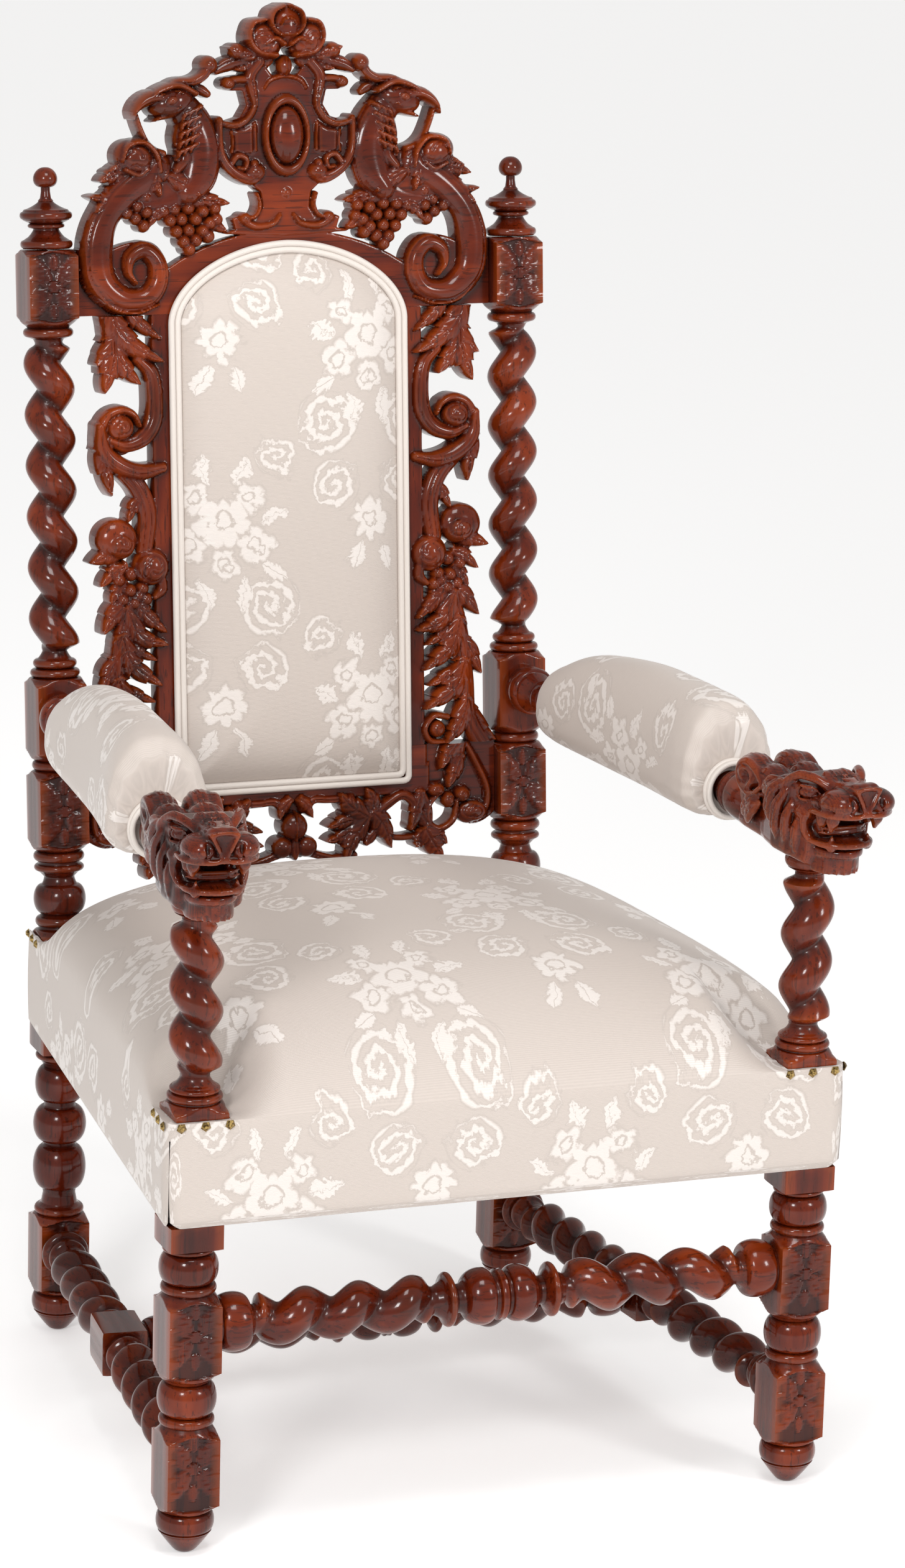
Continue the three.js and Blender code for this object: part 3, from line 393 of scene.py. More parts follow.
def turning(keys, placing, blocks=(), barleys=(), flowers=(), recess=3.0):
    # Radius as a function of height and angle: turned profile, square blocks cut by it, twists and
    # carved flowers. The section at height z is min(profile, square). A twist's radius is waist +
    # (outer - waist) |cos(psi/2)|^1.25, where psi turns once every pitch. On a flower's face the ground
    # sinks by recess except under the flower.
    heights, radii = bowedRows(keys, turned["step"])
    for low, high, middle, tall in flowers:
        more = np.arange(low, high, turned["carvedStep"])
        heights, radii = np.concatenate([heights, more]), np.concatenate([radii, np.interp(more, heights,
            radii)])
        order = np.argsort(heights, kind="stable")
        heights, radii = heights[order], radii[order]
    angle = squareAngles(turned["columns"])
    cos, sin = np.cos(angle), np.sin(angle)
    edge = turned["edge"]
    unitSquare = (np.abs(cos) ** edge + np.abs(sin) ** edge) ** (-1 / edge)
    z = np.repeat(heights[:, None], len(angle), 1)
    r = np.repeat(radii[:, None], len(angle), 1)
    for low, high, half in blocks:
        r = np.where((z >= low) & (z <= high), np.minimum(r, half * unitSquare), r)
    for low, high, barley in barleys:
        psi = angle - barley["facing"] - barley["hand"] * 2 * np.pi * (z - barley["mark"]) / barley["pitch"]
        wound = barley["waist"] + (barley["outer"] - barley["waist"]) * np.abs(np.cos(psi / 2)) ** 1.25
        inside = smoothStep(z, low, low + 9) * (1 - smoothStep(z, high - 9, high))
        neck = r
        r = np.where((z >= low) & (z <= high), neck + (wound - neck) * inside, r)
    x, y = r * cos, r * sin
    sunk = np.zeros_like(x)
    for low, high, middle, tall in flowers:
        face = (z > low) & (z < high) & (sin < 0) & (np.abs(sin) >= np.abs(cos) - 1e-9)
        border = np.minimum(body["blockHalf"] - np.abs(x), np.repeat(radii[:, None], len(angle), 1)
            - np.hypot(x, body["blockHalf"]))
        ground = smoothStep(border, 1.6, 3.2)
        height = flowerRelief(x, z - middle, body["blockHalf"], tall)
        down = recess * ground * (1 - height)
        sunk = np.where(face, down, sunk)
    y = y + sunk
    # painted shade: the sunk ground round each flower and the hollows of the profile are marked for darkening
    # in the oak finish
    painted_recess_shade = np.clip(sunk / recess, 0, 1) * 0.9
    hollow = np.clip((softBlur(r, 5) - r) / 5, 0, 1)
    painted_recess_shade = np.maximum(painted_recess_shade, hollow)
    wear = np.clip((r - softBlur(r, 3) - 0.35) / 2.5, 0, 1)
    points, faces = tubeShell(placing(x, y, z))
    both = lambda field: np.concatenate([field.ravel(), [0, 0]])
    return points, faces, {"painted_recess_shade": both(painted_recess_shade), "wear": both(wear)}


def standing(centreX, upperX=None):
    # Places a post upright; above the seat's edge it may stand at another x.
    def place(x, y, z):
        centre = centreX if upperX is None else np.where(z < body["seatBottom"], centreX, upperX)
        return np.stack([x + centre, y, z], -1)
    return place


def leaning(centreX):
    # Places a back post: upright to rakeStart, then turned back by the rake angle about that height.
    c, s = np.cos(body["rake"]), np.sin(body["rake"])
    def place(x, y, z):
        up = z - body["rakeStart"]
        above = up > 0
        backward = np.where(above, y * c + up * s, y)
        height = np.where(above, body["rakeStart"] + up * c - y * s, z)
        return np.stack([x + centreX, depth + backward, height], -1)
    return place


def alongLine(start, end):
    # Places turning whose axis runs from start to end; its own z is measured from the middle, x points
    # up.
    start, end = np.array(start, float), np.array(end, float)
    along = (end - start) / np.linalg.norm(end - start)
    side = np.cross(along, [0, 0, 1])
    middle = (start + end) / 2
    def place(x, y, z):
        return middle + x[..., None] * np.array([0, 0, 1]) + y[..., None] * side + z[..., None] * along
    return place


def blockKeys(bottom, top, arch):
    # A square block whose turned shoulders leave four arched faces.
    return [(bottom - arch, 28), (bottom - arch * 0.45, 32.5), (bottom, 41), (bottom + 1, 60),
            (top - 1, 60), (top, 41), (top + arch * 0.45, 32.5), (top + arch, 28)]


def ringKeys(low, high, base, full):
    return [(low, base), (high, base, full - base)]


footKeys = [(0, 8), (1.5, 10.5), (21, 25.5, 1.0), (22.5, 27), (23.5, 25.5), (43.5, 25, 4.2), (45, 23.5),
    (46, 25.5)]
frontKeys = footKeys + blockKeys(54, 122, 8) + ringKeys(135.5, 145, 24.5, 28.2) + ringKeys(146, 180, 21.5,
    30) \
    + [(181.5, 23.5), (184.5, 25)] + blockKeys(194.5, 262, 8.5) + ringKeys(274.5, 283.5, 24.5, 28.2) \
    + ringKeys(284.5, 315.5, 21.5, 30) + [(316.5, 23), (317, 23.5), (322.5, 23.5, 3.2), (323, 28),
    (324, 60), (348.8, 60),
       (349.1, 60), (458.25, 60), (458.5, 60), (462.5, 60), (463, 40), (466.5, 31.5), (471, 28), (472, 25)] \
    + ringKeys(473, 480.5, 25, 28.2) + ringKeys(481.5, 487, 22.5, 25.5) + [(489, 20.5), (498, 15, -1.5),
    (500, 14.5),
       (650, 14.5), (657, 15), (661.5, 19.5, -1.5), (663.5, 22.5)] + ringKeys(664, 678.2, 21, 26)
frontBlocks = [(46, 130.5, 28), (186, 270.5, 28), (322.6, 349.2, 28), (349, 458.3, 24), (458.3, 471.4, 28)]
frontFlowers = [(49, 130, 95, 38), (189, 270, 234, 38)]
for side, word in ((-1, "left"), (1, "right")):
    barley = {"outer": 27, "waist": 14, "pitch": 50.5, "hand": -1, "mark": 636,
        "facing": np.pi} if side < 0 else \
        {"outer": 27, "waist": 14, "pitch": 55.5, "hand": 1, "mark": 624, "facing": 0}
    made = turning(frontKeys, standing(side * frontHalf, side * supportHalf), frontBlocks,
                   [(499, 655, barley)], frontFlowers)
    addPiece("turned_front_post_" + word, made[0], made[1], oakUpright,
        ["front_post_" + word], made[2])

up = lambda v: v + body["rakeStart"]
backKeys = footKeys + blockKeys(54, 128, 7) + ringKeys(137, 145.5, 24, 27.5) + [(149, 20, -1), (160, 18)] \
    + ringKeys(166, 214, 19, 29.3) + [(216, 17)] + ringKeys(220, 260, 18, 29.3) + [(262, 17)] \
    + ringKeys(267, 306, 18, 27.5) + [(309, 19)] + ringKeys(315, 323, 23, 27.3) + [(326, 28), (327, 60),
       (up(33), 60), (up(34), 41), (up(38), 32), (up(42), 28), (up(43.5), 24)] + ringKeys(up(46), up(57),
       23, 27.3) \
    + [(up(58), 22)] + ringKeys(up(60), up(92), 20, 28.7) + [(up(101), 17, -1)] + ringKeys(up(107),
    up(115), 23, 27.5) \
    + [(up(117), 22.5)] + ringKeys(up(118), up(129), 23, 28) + blockKeys(up(140), up(209), 8) \
    + ringKeys(up(219), up(229), 23.5, 27.3) + blockKeys(up(240), up(312), 8) \
    + ringKeys(up(321), up(330), 23, 27.3) + ringKeys(up(331), up(341), 19, 24) + [(up(350), 13.5, -1),
       (up(680), 13.5), (up(688), 17, -0.5)] + ringKeys(up(690), up(700), 22.5, 27.3) + [(up(702), 24)] \
    + blockKeys(up(712), up(777), 7)
backBlocks = [(46, 136, 28), (325.6, up(41.8), 28), (up(131), up(218), 28), (up(231), up(321), 28),
    (up(704), up(785), 28)]
backFlowers = [(50, 136, 92, 42), (up(134), up(217), up(175), 40), (up(707), up(783), up(745), 38)]
for side, word in ((-1, "left"), (1, "right")):
    barley = {"outer": 27.5, "waist": 12, "pitch": 55.3, "hand": side, "mark": up(659),
        "facing": np.pi if side < 0 else 0}
    made = turning(backKeys, leaning(side * backHalf), backBlocks, [(up(349), up(685), barley)], backFlowers)
    addPiece("turned_back_post_" + word, made[0], made[1], oakUpright,
        ["back_post_" + word], made[2])
    finialKeys = [(up(785.2), 25.5)] + ringKeys(up(785.4), up(794), 25, 28.2) + [(up(797), 20.5),
        (up(806), 14, -1)] \
        + ringKeys(up(807), up(812), 17, 20) + [(up(814), 22), (up(816), 25.5)] + ringKeys(up(816.5),
        up(824.5), 25.5, 28.4) \
        + [(up(827), 23.5), (up(836), 8.5, -3), (up(839), 6), (up(846), 5), (up(850.5), 5)] \
        + [(up(872), 1.5, 9.7)]
    made = turning(finialKeys, leaning(side * backHalf))
    addPiece("turned_finial_" + word, made[0], made[1], oakUpright, ["finial_" + word], made[2])
print("posts and finials")

# Stretchers.
def mirrorKeys(keys):
    # The same profile on both sides of the middle: z runs from -end to end.
    left = [(-z, r) for z, r, *_ in reversed(keys)]
    bows = [k[2] if len(k) > 2 else 0.0 for k in keys]
    left = [(z, r, bow) for (z, r), bow in zip(left, [0.0] + bows[:0:-1])]
    return left + list(keys[1:])


stretch = {"front": {"radius": 28.5, "pitch": 57.0, "mark": 95}, "cross": {"radius": 24.0, "pitch": 52.0,
    "mark": 95},
           "side": {"radius": 26.0, "pitch": 50.0, "mark": 75}}


def vaseKeys(radius, half):
    # Half of a stretcher from its middle: two bulbs, a disc, the twist's core and the bulb at the post.
    return [(0, radius * 0.90), (3, radius * 0.92), (5, radius * 0.80), (7, radius * 0.78)] \
        + [(9, radius * 0.80), (38, radius * 0.62, radius * 0.31), (42, radius * 0.52), (47, radius * 0.52),
           (49, radius * 0.62), (51.5, radius * 0.75)] + [(52, radius * 0.80), (60, radius * 0.80, radius
           * 0.19),
           (63, radius * 0.66), (70, radius * 0.52), (76, radius * 0.5), (half - 44, radius * 0.5),
           (half - 38, radius * 0.55),
           (half - 34, radius * 0.66), (half - 33, radius * 0.82), (half - 2, radius * 0.80, radius
           * 0.25), (half, radius * 0.80)]


frontEnd = frontHalf - body["blockHalf"] - body["gap"]
made = stretch["front"]
twists = [(72, frontEnd - 40, {"outer": made["radius"], "waist": made["radius"] * 0.5, "pitch": made["pitch"],
                               "hand": 1, "mark": made["mark"], "facing": 0})]
twists.append((40 - frontEnd, -72, {**twists[0][2], "hand": -1, "mark": -made["mark"]}))
shape = turning(mirrorKeys(vaseKeys(made["radius"], frontEnd)),
                alongLine((-frontHalf, 0, body["frontStretcherHeight"]), (frontHalf, 0,
                body["frontStretcherHeight"])),
                barleys=twists)
addPiece("turned_front_stretcher", shape[0], shape[1], oakLevel, ["front_stretcher"], shape[2])

crossHalf = (frontHalf + backHalf) / 2 - 24 / np.cos(armAngle) - 24 * np.tan(armAngle) - 0.3
made = stretch["cross"]
twists = [(72, crossHalf - 40, {"outer": made["radius"], "waist": made["radius"] * 0.5,
    "pitch": made["pitch"],
                                "hand": 1, "mark": made["mark"], "facing": 0})]
twists.append((40 - crossHalf, -72, {**twists[0][2], "hand": -1, "mark": -made["mark"]}))
shape = turning(mirrorKeys(vaseKeys(made["radius"], crossHalf)),
                alongLine((-1, depth / 2, body["stretcherHeight"]), (1, depth / 2,
                body["stretcherHeight"])), barleys=twists)
addPiece("turned_cross_stretcher", shape[0], shape[1], oakDarkAcross, ["cross_stretcher"],
    shape[2])

made = stretch["side"]
for side, word in ((-1, "left"), (1, "right")):
    start = (side * (frontHalf - 2.7), body["blockHalf"] + body["gap"], body["stretcherHeight"])
    end = (side * (backHalf + 2.7), depth - body["blockHalf"] - body["gap"], body["stretcherHeight"])
    half = np.hypot(end[0] - start[0], end[1] - start[1]) / 2 - 2.8
    keys = [(0, 60), (31.5, 60), (32.5, 33), (33, 20), (37, 20), (37.5, 19.5), (47, 19, 3), (50, 16),
        (56, 14), (62, 13),
            (half - 42, 13), (half - 34, 14), (half - 28, 17), (half - 27, 18), (half - 16, 18, 3.2),
            (half - 15, 17),
            (half - 14, 20), (half - 2, 20, 6), (half, 21)]
    barley = {"outer": made["radius"], "waist": 13, "pitch": made["pitch"], "hand": side,
        "mark": made["mark"], "facing": 0}
    twists = [(58, half - 38, barley), (38 - half, -58, {**barley, "hand": -side, "mark": -made["mark"]})]
    shape = turning(mirrorKeys(keys), alongLine(start, end), [(-33, 33, 24)], twists)
    addPiece("turned_side_stretcher_" + word, shape[0], shape[1], oakDarkAlong,
        ["side_stretcher_" + word], shape[2])
print("stretchers")

# Cloth finishes.
cloth = {
    "ground": (0.53, 0.465, 0.42), "figure": (0.69, 0.635, 0.595), "plain": (0.66, 0.60, 0.55),
    "width": 0.17, "drop": 0.40, "ribs": 0.0014,
    # place in the cell, radius, number of petals or leaves, turn in radians
    "flowers": [((0.0, 0.085), 0.030, 6, 0.2), ((0.036, 0.058), 0.021, 5, 0.9), ((0.030, 0.110), 0.017, 5,
        0.4),
                ((0.0, -0.118), 0.024, 8, 0.0), ((0.0, 0.040), 0.016, 5, 0.5)],
    "scrolls": [((0.052, -0.010), 0.034, 0.0135, 1.1), ((0.042, -0.078), 0.027, 0.0125, 2.9),
    ((0.060, 0.155), 0.022, 0.0115, 0.3)],
    "leaves": [((0.055, 0.090), 0.034, 0.009, 0.5), ((0.020, 0.140), 0.036, 0.008, 1.25), ((0.055, 0.030),
    0.030, 0.008, -0.5),
               ((0.018, -0.160), 0.034, 0.009, -1.2), ((0.020, 0.005), 0.040, 0.008, 1.35)],
}


def clothFinish(name, patterned):
    # A ribbed ground with a lighter satin figure: flowers r < R(0.7 + 0.3|cos(n a / 2)|), spirals and
    # pointed leaves, mirrored about the middle of each column and moved half a repeat in every second
    # column.
    made = bpy.data.materials.new(name)
    made.use_nodes = True
    tree = made.node_tree
    shader = tree.nodes["Principled BSDF"]
    m = lambda operation, *values: mathNode(tree, operation, *values)
    place = addNode(tree, "ShaderNodeUVMap", uv_map="weave").outputs[0]
    split = addNode(tree, "ShaderNodeSeparateXYZ")
    tree.links.new(place, split.inputs[0])
    u, v = split.outputs[0], split.outputs[1]
    ribs = m("SINE", m("MULTIPLY", v, 2 * np.pi / cloth["ribs"]))
    threads = noiseField(tree, place, (1, 8, 1), 160.0, 3, 0.7)
    if patterned:
        column = m("FLOOR", m("DIVIDE", u, cloth["width"]))
        odd = m("MODULO", m("ABSOLUTE", column), 2.0)
        x = m("MULTIPLY", m("SUBTRACT", m("FRACT", m("DIVIDE", u, cloth["width"])), 0.5), cloth["width"])
        shifted = m("ADD", m("DIVIDE", v, cloth["drop"]), m("MULTIPLY", odd, 0.5))
        y = m("MULTIPLY", m("SUBTRACT", m("FRACT", shifted), 0.5), cloth["drop"])
        warp = m("SUBTRACT", noiseField(tree, place, (1, 1, 1), 34.0, 2), 0.5)
        torn = m("SUBTRACT", noiseField(tree, place, (1, 1, 1), 150.0, 3, 0.7), 0.5)
        x = m("ADD", m("ABSOLUTE", x), m("ADD", m("MULTIPLY", warp, 0.030), m("MULTIPLY", torn, 0.012)))
        y = m("ADD", y, m("ADD", m("MULTIPLY", warp, -0.024), m("MULTIPLY", torn, -0.012)))
        shapes = []
        for (cx, cy), radius, count, turn in cloth["flowers"]:
            dx, dy = m("SUBTRACT", x, cx), m("SUBTRACT", y, cy)
            away = m("SQRT", m("ADD", m("MULTIPLY", dx, dx), m("MULTIPLY", dy, dy)))
            angle = m("ADD", m("ARCTAN2", dy, dx), turn)
            lobe = m("MULTIPLY_ADD", m("ABSOLUTE", m("COSINE", m("MULTIPLY", angle, count / 2))),
                0.34 * radius, 0.66 * radius)
            bloom = m("DIVIDE", m("SUBTRACT", lobe, away), 0.006)
            heart = m("SUBTRACT", m("DIVIDE", m("ABSOLUTE", m("SUBTRACT", away, radius * 0.36)), 0.0022), 0.5)
            shapes.append(m("MINIMUM", bloom, heart))
        for (cx, cy), radius, pitch, turn in cloth["scrolls"]:
            dx, dy = m("SUBTRACT", x, cx), m("SUBTRACT", y, cy)
            away = m("SQRT", m("ADD", m("MULTIPLY", dx, dx), m("MULTIPLY", dy, dy)))
            angle = m("ADD", m("ARCTAN2", dy, dx), turn)
            wound = m("SUBTRACT", m("DIVIDE", away, pitch), m("DIVIDE", angle, 2 * np.pi))
            gap = m("MULTIPLY", m("ABSOLUTE", m("SUBTRACT", m("FRACT", wound), 0.5)), pitch)
            frilled = m("MULTIPLY_ADD", m("ABSOLUTE", m("SINE", m("MULTIPLY", angle, 4.5))), pitch * 0.17,
                pitch * 0.13)
            curl = m("DIVIDE", m("SUBTRACT", frilled, gap), 0.003)
            shapes.append(m("MINIMUM", curl, m("DIVIDE", m("SUBTRACT", radius, away), 0.004)))
        for (cx, cy), length, width, turn in cloth["leaves"]:
            dx, dy = m("SUBTRACT", x, cx), m("SUBTRACT", y, cy)
            c, s = float(np.cos(turn)), float(np.sin(turn))
            along = m("ADD", m("MULTIPLY", dx, c), m("MULTIPLY", dy, s))
            beside = m("ABSOLUTE", m("SUBTRACT", m("MULTIPLY", dy, c), m("MULTIPLY", dx, s)))
            share = m("DIVIDE", along, length / 2)
            belly = m("SUBTRACT", 1.0, m("MULTIPLY", share, share))
            notched = m("MULTIPLY_ADD", m("ABSOLUTE", m("SINE", m("MULTIPLY", along, 520.0))), 0.35, 0.75)
            leaf = m("DIVIDE", m("SUBTRACT", m("MULTIPLY", m("MULTIPLY", belly, notched), width), beside),
                0.003)
            shapes.append(m("MINIMUM", leaf, m("SUBTRACT", m("DIVIDE", beside, 0.0008), 0.4)))
        figure = shapes[0]
        for shape in shapes[1:]:
            figure = m("MAXIMUM", figure, shape)
        clear = addNode(tree, "ShaderNodeClamp")
        tree.links.new(m("MULTIPLY_ADD", figure, 1.6, 0.3), clear.inputs[0])
        mask = clear.outputs[0]
        rim = m("MAXIMUM", m("SUBTRACT", 1.0, m("ABSOLUTE", m("MULTIPLY_ADD", figure, 2.2, 0.7))), 0.0)
        colour = mixColour(tree, mask, cloth["ground"], cloth["figure"])
        colour = mixColour(tree, m("MULTIPLY", rim, 0.28), colour, tuple(c * 0.70 for c in cloth["ground"]))
    else:
        mask = 0.6
        colour = mixColour(tree, 0.5, cloth["plain"], cloth["plain"])
    shade = m("ADD", m("MULTIPLY_ADD", ribs, 0.035, 0.93), m("MULTIPLY", threads, 0.14))
    tone = addNode(tree, "ShaderNodeCombineXYZ")
    for socket in tone.inputs:
        tree.links.new(shade, socket)
    colour = mixColour(tree, 1.0, colour, tone.outputs[0], "MULTIPLY")
    tree.links.new(colour, shader.inputs["Base Color"])
    shader.inputs["Roughness"].default_value = 0.5
    if patterned:
        tree.links.new(m("MULTIPLY_ADD", mask, -0.14, 0.52), shader.inputs["Roughness"])
    shader.inputs["Sheen Weight"].default_value = 0.18
    shader.inputs["Sheen Roughness"].default_value = 0.35
    bump = addNode(tree, "ShaderNodeBump")
    bump.inputs["Strength"].default_value = 0.35
    bump.inputs["Distance"].default_value = 0.0004
    tree.links.new(m("ADD", m("MULTIPLY", ribs, 0.5), m("ADD", m("MULTIPLY", mask, 0.8), threads)),
        bump.inputs["Height"])
    tree.links.new(bump.outputs[0], shader.inputs["Normal"])
    return made


damask = clothFinish("ivory damask", True)
plainCloth = clothFinish("ivory cloth", False)

# Upholstery.
def boardPlace(u, v, off):
    # Points drawn on the back: u across, v up its slope, off forwards of the post centres.
    c, s = np.cos(body["rake"]), np.sin(body["rake"])
    return np.stack([u + 0 * v, depth + v * s - off * c, body["rakeStart"] + v * c + off * s], -1)


def armPlace(side, t, s, z):
    # Points along an arm: t back from the front post axis, s outwards, z up, turned in line with the
    # back post.
    c, w = np.cos(armAngle), np.sin(armAngle)
    return np.stack([side * (supportHalf + s * c - t * w), t * c + s * w, z + 0 * t], -1)


def shellGrid(count, spread=0.75):
    # A square grid closer near its edges, each point's ring (0 middle, 1 edge) and its place round the
    # edge, 0 to 4.
    line = np.linspace(-1, 1, count)
    line = (1 - spread) * line + spread * np.sin(line * np.pi / 2)
    a, b = np.meshgrid(line, line)
    ring = np.maximum(np.abs(a), np.abs(b))
    p, q = a / np.maximum(ring, 1e-9), b / np.maximum(ring, 1e-9)
    round4 = np.select([q <= -1 + 1e-9, p >= 1 - 1e-9, q >= 1 - 1e-9], [(p + 1) / 2, 1 + (q + 1) / 2,
        2 + (1 - p) / 2], 3 + (1 - q) / 2)
    return a, b, ring, round4 % 4


def edgeLoop(count):
    # Numbers of a grid's border points, once round from its first corner.
    first = np.arange(count - 1)
    return np.concatenate([first, first * count + count - 1, count * count - 1 - first,
        (count - 1 - first) * count])


def alongSides(sides, place):
    # Point on a closed outline of four polylines, at place 0 to 4, each side measured by its own
    # length.
    out = np.zeros(place.shape + (2,))
    for k, line in enumerate(sides):
        line = np.array(line, float)
        run = np.concatenate([[0], np.cumsum(np.hypot(*np.diff(line, axis=0).T))])
        here = (place >= k) & (place < k + 1)
        t = (place[here] - k) * run[-1]
        out[here] = np.stack([np.interp(t, run, line[:, 0]), np.interp(t, run, line[:, 1])], -1)
    return out


def pillow(top, walls, bottom):
    # Points and faces of a closed pad: a top grid, rings down its side and a bottom grid.
    count = top.shape[0]
    loop = edgeLoop(count)
    points = np.concatenate([top.reshape(-1, 3), bottom.reshape(-1, 3), walls.reshape(-1, 3)])
    base = 2 * count * count
    rings = [loop] + [base + k * len(loop) + np.arange(len(loop)) for k in range(len(walls))] + [count
        * count + loop]
    faces = [gridFaces(count, count, False), gridFaces(count, count, False)[:, ::-1] + count * count]
    for upper, lower in zip(rings, rings[1:]):
        faces.append(np.stack([lower, np.roll(lower, -1), np.roll(upper, -1), upper], -1))
    return points, faces


def awayFrom(points, line):
    # Shortest distance from each point to a closed polyline, span by span.
    best = np.full(points.shape[:-1], 1e9)
    for start, end in zip(line, np.roll(line, -1, 0)):
        d = end - start
        t = np.clip(((points - start) @ d) / max(d @ d, 1e-9), 0, 1)
        best = np.minimum(best, np.linalg.norm(points - (start + t[..., None] * d), axis=-1))
    return best


seat = {"count": 121, "walls": 14, "corner": 16.0}
seatFront, seatBack = -body["blockHalf"] - body["cloth"], depth + body["blockHalf"] + body["cloth"]
sideSlope = (frontHalf - backHalf) / depth


def clothHalf(y):
    return frontHalf + body["blockHalf"] + body["cloth"] - sideSlope * y


def crownHeight(x, y):
    # Crown of the seat: two flattened arches multiplied, eased down round the four posts, with small
    # gathers there.
    acrossShare = np.clip(np.abs(x) / clothHalf(y), 0, 1)
    middle = seatFront + 0.42 * (seatBack - seatFront)
    along = np.where(y < middle, (middle - y) / (middle - seatFront), (y - middle) / (seatBack - middle))
    arch = (1 - acrossShare**2.4) ** 0.42 * (1 - np.clip(along, 0, 1) ** 3.4) ** 0.8
    front = y < depth / 2
    dx = np.abs(x) - np.where(front, supportHalf, backHalf)
    dy = np.abs(y - np.where(front, 0, depth))
    away = np.maximum(np.abs(dx), dy)
    ease = smoothStep(away, body["blockHalf"] - 6, body["blockHalf"] + 70)
    turn = np.arctan2(dy, -dx)
    gathers = 2.2 * np.cos(9 * turn) * np.exp(-((away - body["blockHalf"])
        / 26) ** 2) * (away > body["blockHalf"] - 4)
    return body["seatEdge"] + body["seatCrown"] * arch * ease + gathers * arch**0.5


def roundedCorner(centre, start, radius=None):
    turn = np.radians(start + np.linspace(0, 90, 9))
    return [(centre[0] + radius * np.cos(t), centre[1] + radius * np.sin(t)) for t in turn]


def seatOutline():
    # Four sides with rounded corners; each corner's curve is shared between its two sides.
    r = seat["corner"]
    arcs = []
    for sx, sy, start in ((-1, -1, 180), (1, -1, 270), (1, 1, 0), (-1, 1, 90)):
        y = (seatFront + r) if sy < 0 else (seatBack - r)
        arcs.append(roundedCorner((sx * (clothHalf(y) - r), y), start, r))
    return [arcs[k][4:] + arcs[(k + 1) % 4][:5] for k in range(4)]


sides = seatOutline()
a, b, ring, round4 = shellGrid(seat["count"])
plan = alongSides(sides, round4)
centre = np.array([0, (seatFront + seatBack) / 2])
flat = centre + (plan - centre) * ring[..., None]
topZ = crownHeight(flat[..., 0], flat[..., 1])
top = np.concatenate([flat, topZ[..., None]], -1)
rim = alongSides(sides, round4.ravel()[edgeLoop(seat["count"])])
normal = np.roll(rim, -1, 0) - np.roll(rim, 1, 0)
normal = np.stack([normal[:, 1], -normal[:, 0]], -1) / np.linalg.norm(normal, axis=1)[:, None]
drop = np.linspace(0, 1, seat["walls"] + 2)[1:-1]
bulge = 1.4 * np.sin(np.pi * drop) - 2.5 * smoothStep(drop, 0.93, 1.0)
walls = np.stack([np.concatenate([rim + normal * out, np.full((len(rim), 1), body["seatEdge"]
    + (body["seatBottom"] - body["seatEdge"]) * t)], -1)
                  for t, out in zip(drop, bulge)])
lowFlat = centre + (flat - centre) * 0.99
bottom = np.concatenate([lowFlat, np.full(lowFlat.shape[:2] + (1,), body["seatBottom"])], -1)
points, faces = pillow(top, walls, bottom)
drops = np.repeat(drop, len(rim)) * (body["seatEdge"] - body["seatBottom"])
wallUv = np.tile(rim, (len(drop), 1)) + np.tile(normal, (len(drop), 1)) * drops[:, None]
seatUv = np.concatenate([flat.reshape(-1, 2), lowFlat.reshape(-1, 2), wallUv]) * 0.001


def boxShell(x0, x1, y0, y1, z0, z1):
    corners = np.array([(x, y, z) for z in (z0, z1) for x, y in ((x0, y0), (x1, y0), (x1, y1), (x0, y1))],
        float)
    faces = np.array([(0, 3, 2, 1), (4, 5, 6, 7), (0, 1, 5, 4), (1, 2, 6, 5), (2, 3, 7, 6), (3, 0, 4, 7)])
    return corners, faces


def cutAway(piece, shells):
    # Takes each closed shell out of a piece, one Boolean after another, and keeps the result as its
    # mesh.
    for k, (corners, faces) in enumerate(shells):
        mesh = bpy.data.meshes.new("cutter")
        mesh.from_pydata(toFrame(corners).tolist(), [], faces.tolist())
        cutter = bpy.data.objects.new("cutter", mesh)
        scene.collection.objects.link(cutter)
        knife = piece.modifiers.new("cut", "BOOLEAN")
        knife.operation, knife.solver, knife.object = "DIFFERENCE", "EXACT", cutter
        bpy.context.view_layer.update()
        result = bpy.data.meshes.new_from_object(piece.evaluated_get(bpy.context.evaluated_depsgraph_get()))
        piece.modifiers.clear()
        piece.data = result
        bpy.data.objects.remove(cutter)


seatPad = addPiece("upholstered_seat", points, faces, damask, ["seat_pad"], uv=seatUv)
seatCut = {"front": 0.6, "back": 1.6, "tenon": 0.4, "below": 300, "above": 700, "beyond": 99,
    "hollowTop": 440.3}
gapHalf = body["blockHalf"] + seatCut["front"]
ballHalf = body["blockHalf"] + seatCut["back"]
tenon = body["tenonHalf"] + seatCut["tenon"]
shells = []
for side in (-1, 1):
    outer, inner = side * (supportHalf + seatCut["beyond"]), side * (supportHalf - gapHalf)
    shells.append(boxShell(min(outer, inner), max(outer, inner), -seatCut["beyond"], gapHalf,
                           body["seatEdge"], seatCut["above"]))
    shells.append(boxShell(side * supportHalf - tenon, side * supportHalf + tenon, -tenon, tenon,
                           seatCut["below"], seatCut["above"]))
    shells.append(boxShell(side * backHalf - ballHalf, side * backHalf + ballHalf, depth - ballHalf,
        depth + ballHalf + 3,
                           seatCut["below"], seatCut["above"]))
low, high = -body["blockHalf"] - body["gap"], depth + body["blockHalf"] + body["gap"]
edge = lambda y: clothHalf(y) - body["cloth"] + 0.3
hollow = boxShell(-1, 1, low, high, seatCut["below"], seatCut["hollowTop"])
hollow[0][:, 0] *= edge(hollow[0][:, 1])
cutAway(seatPad, shells + [hollow])
print("seat pad: %d faces" % len(seatPad.data.polygons))

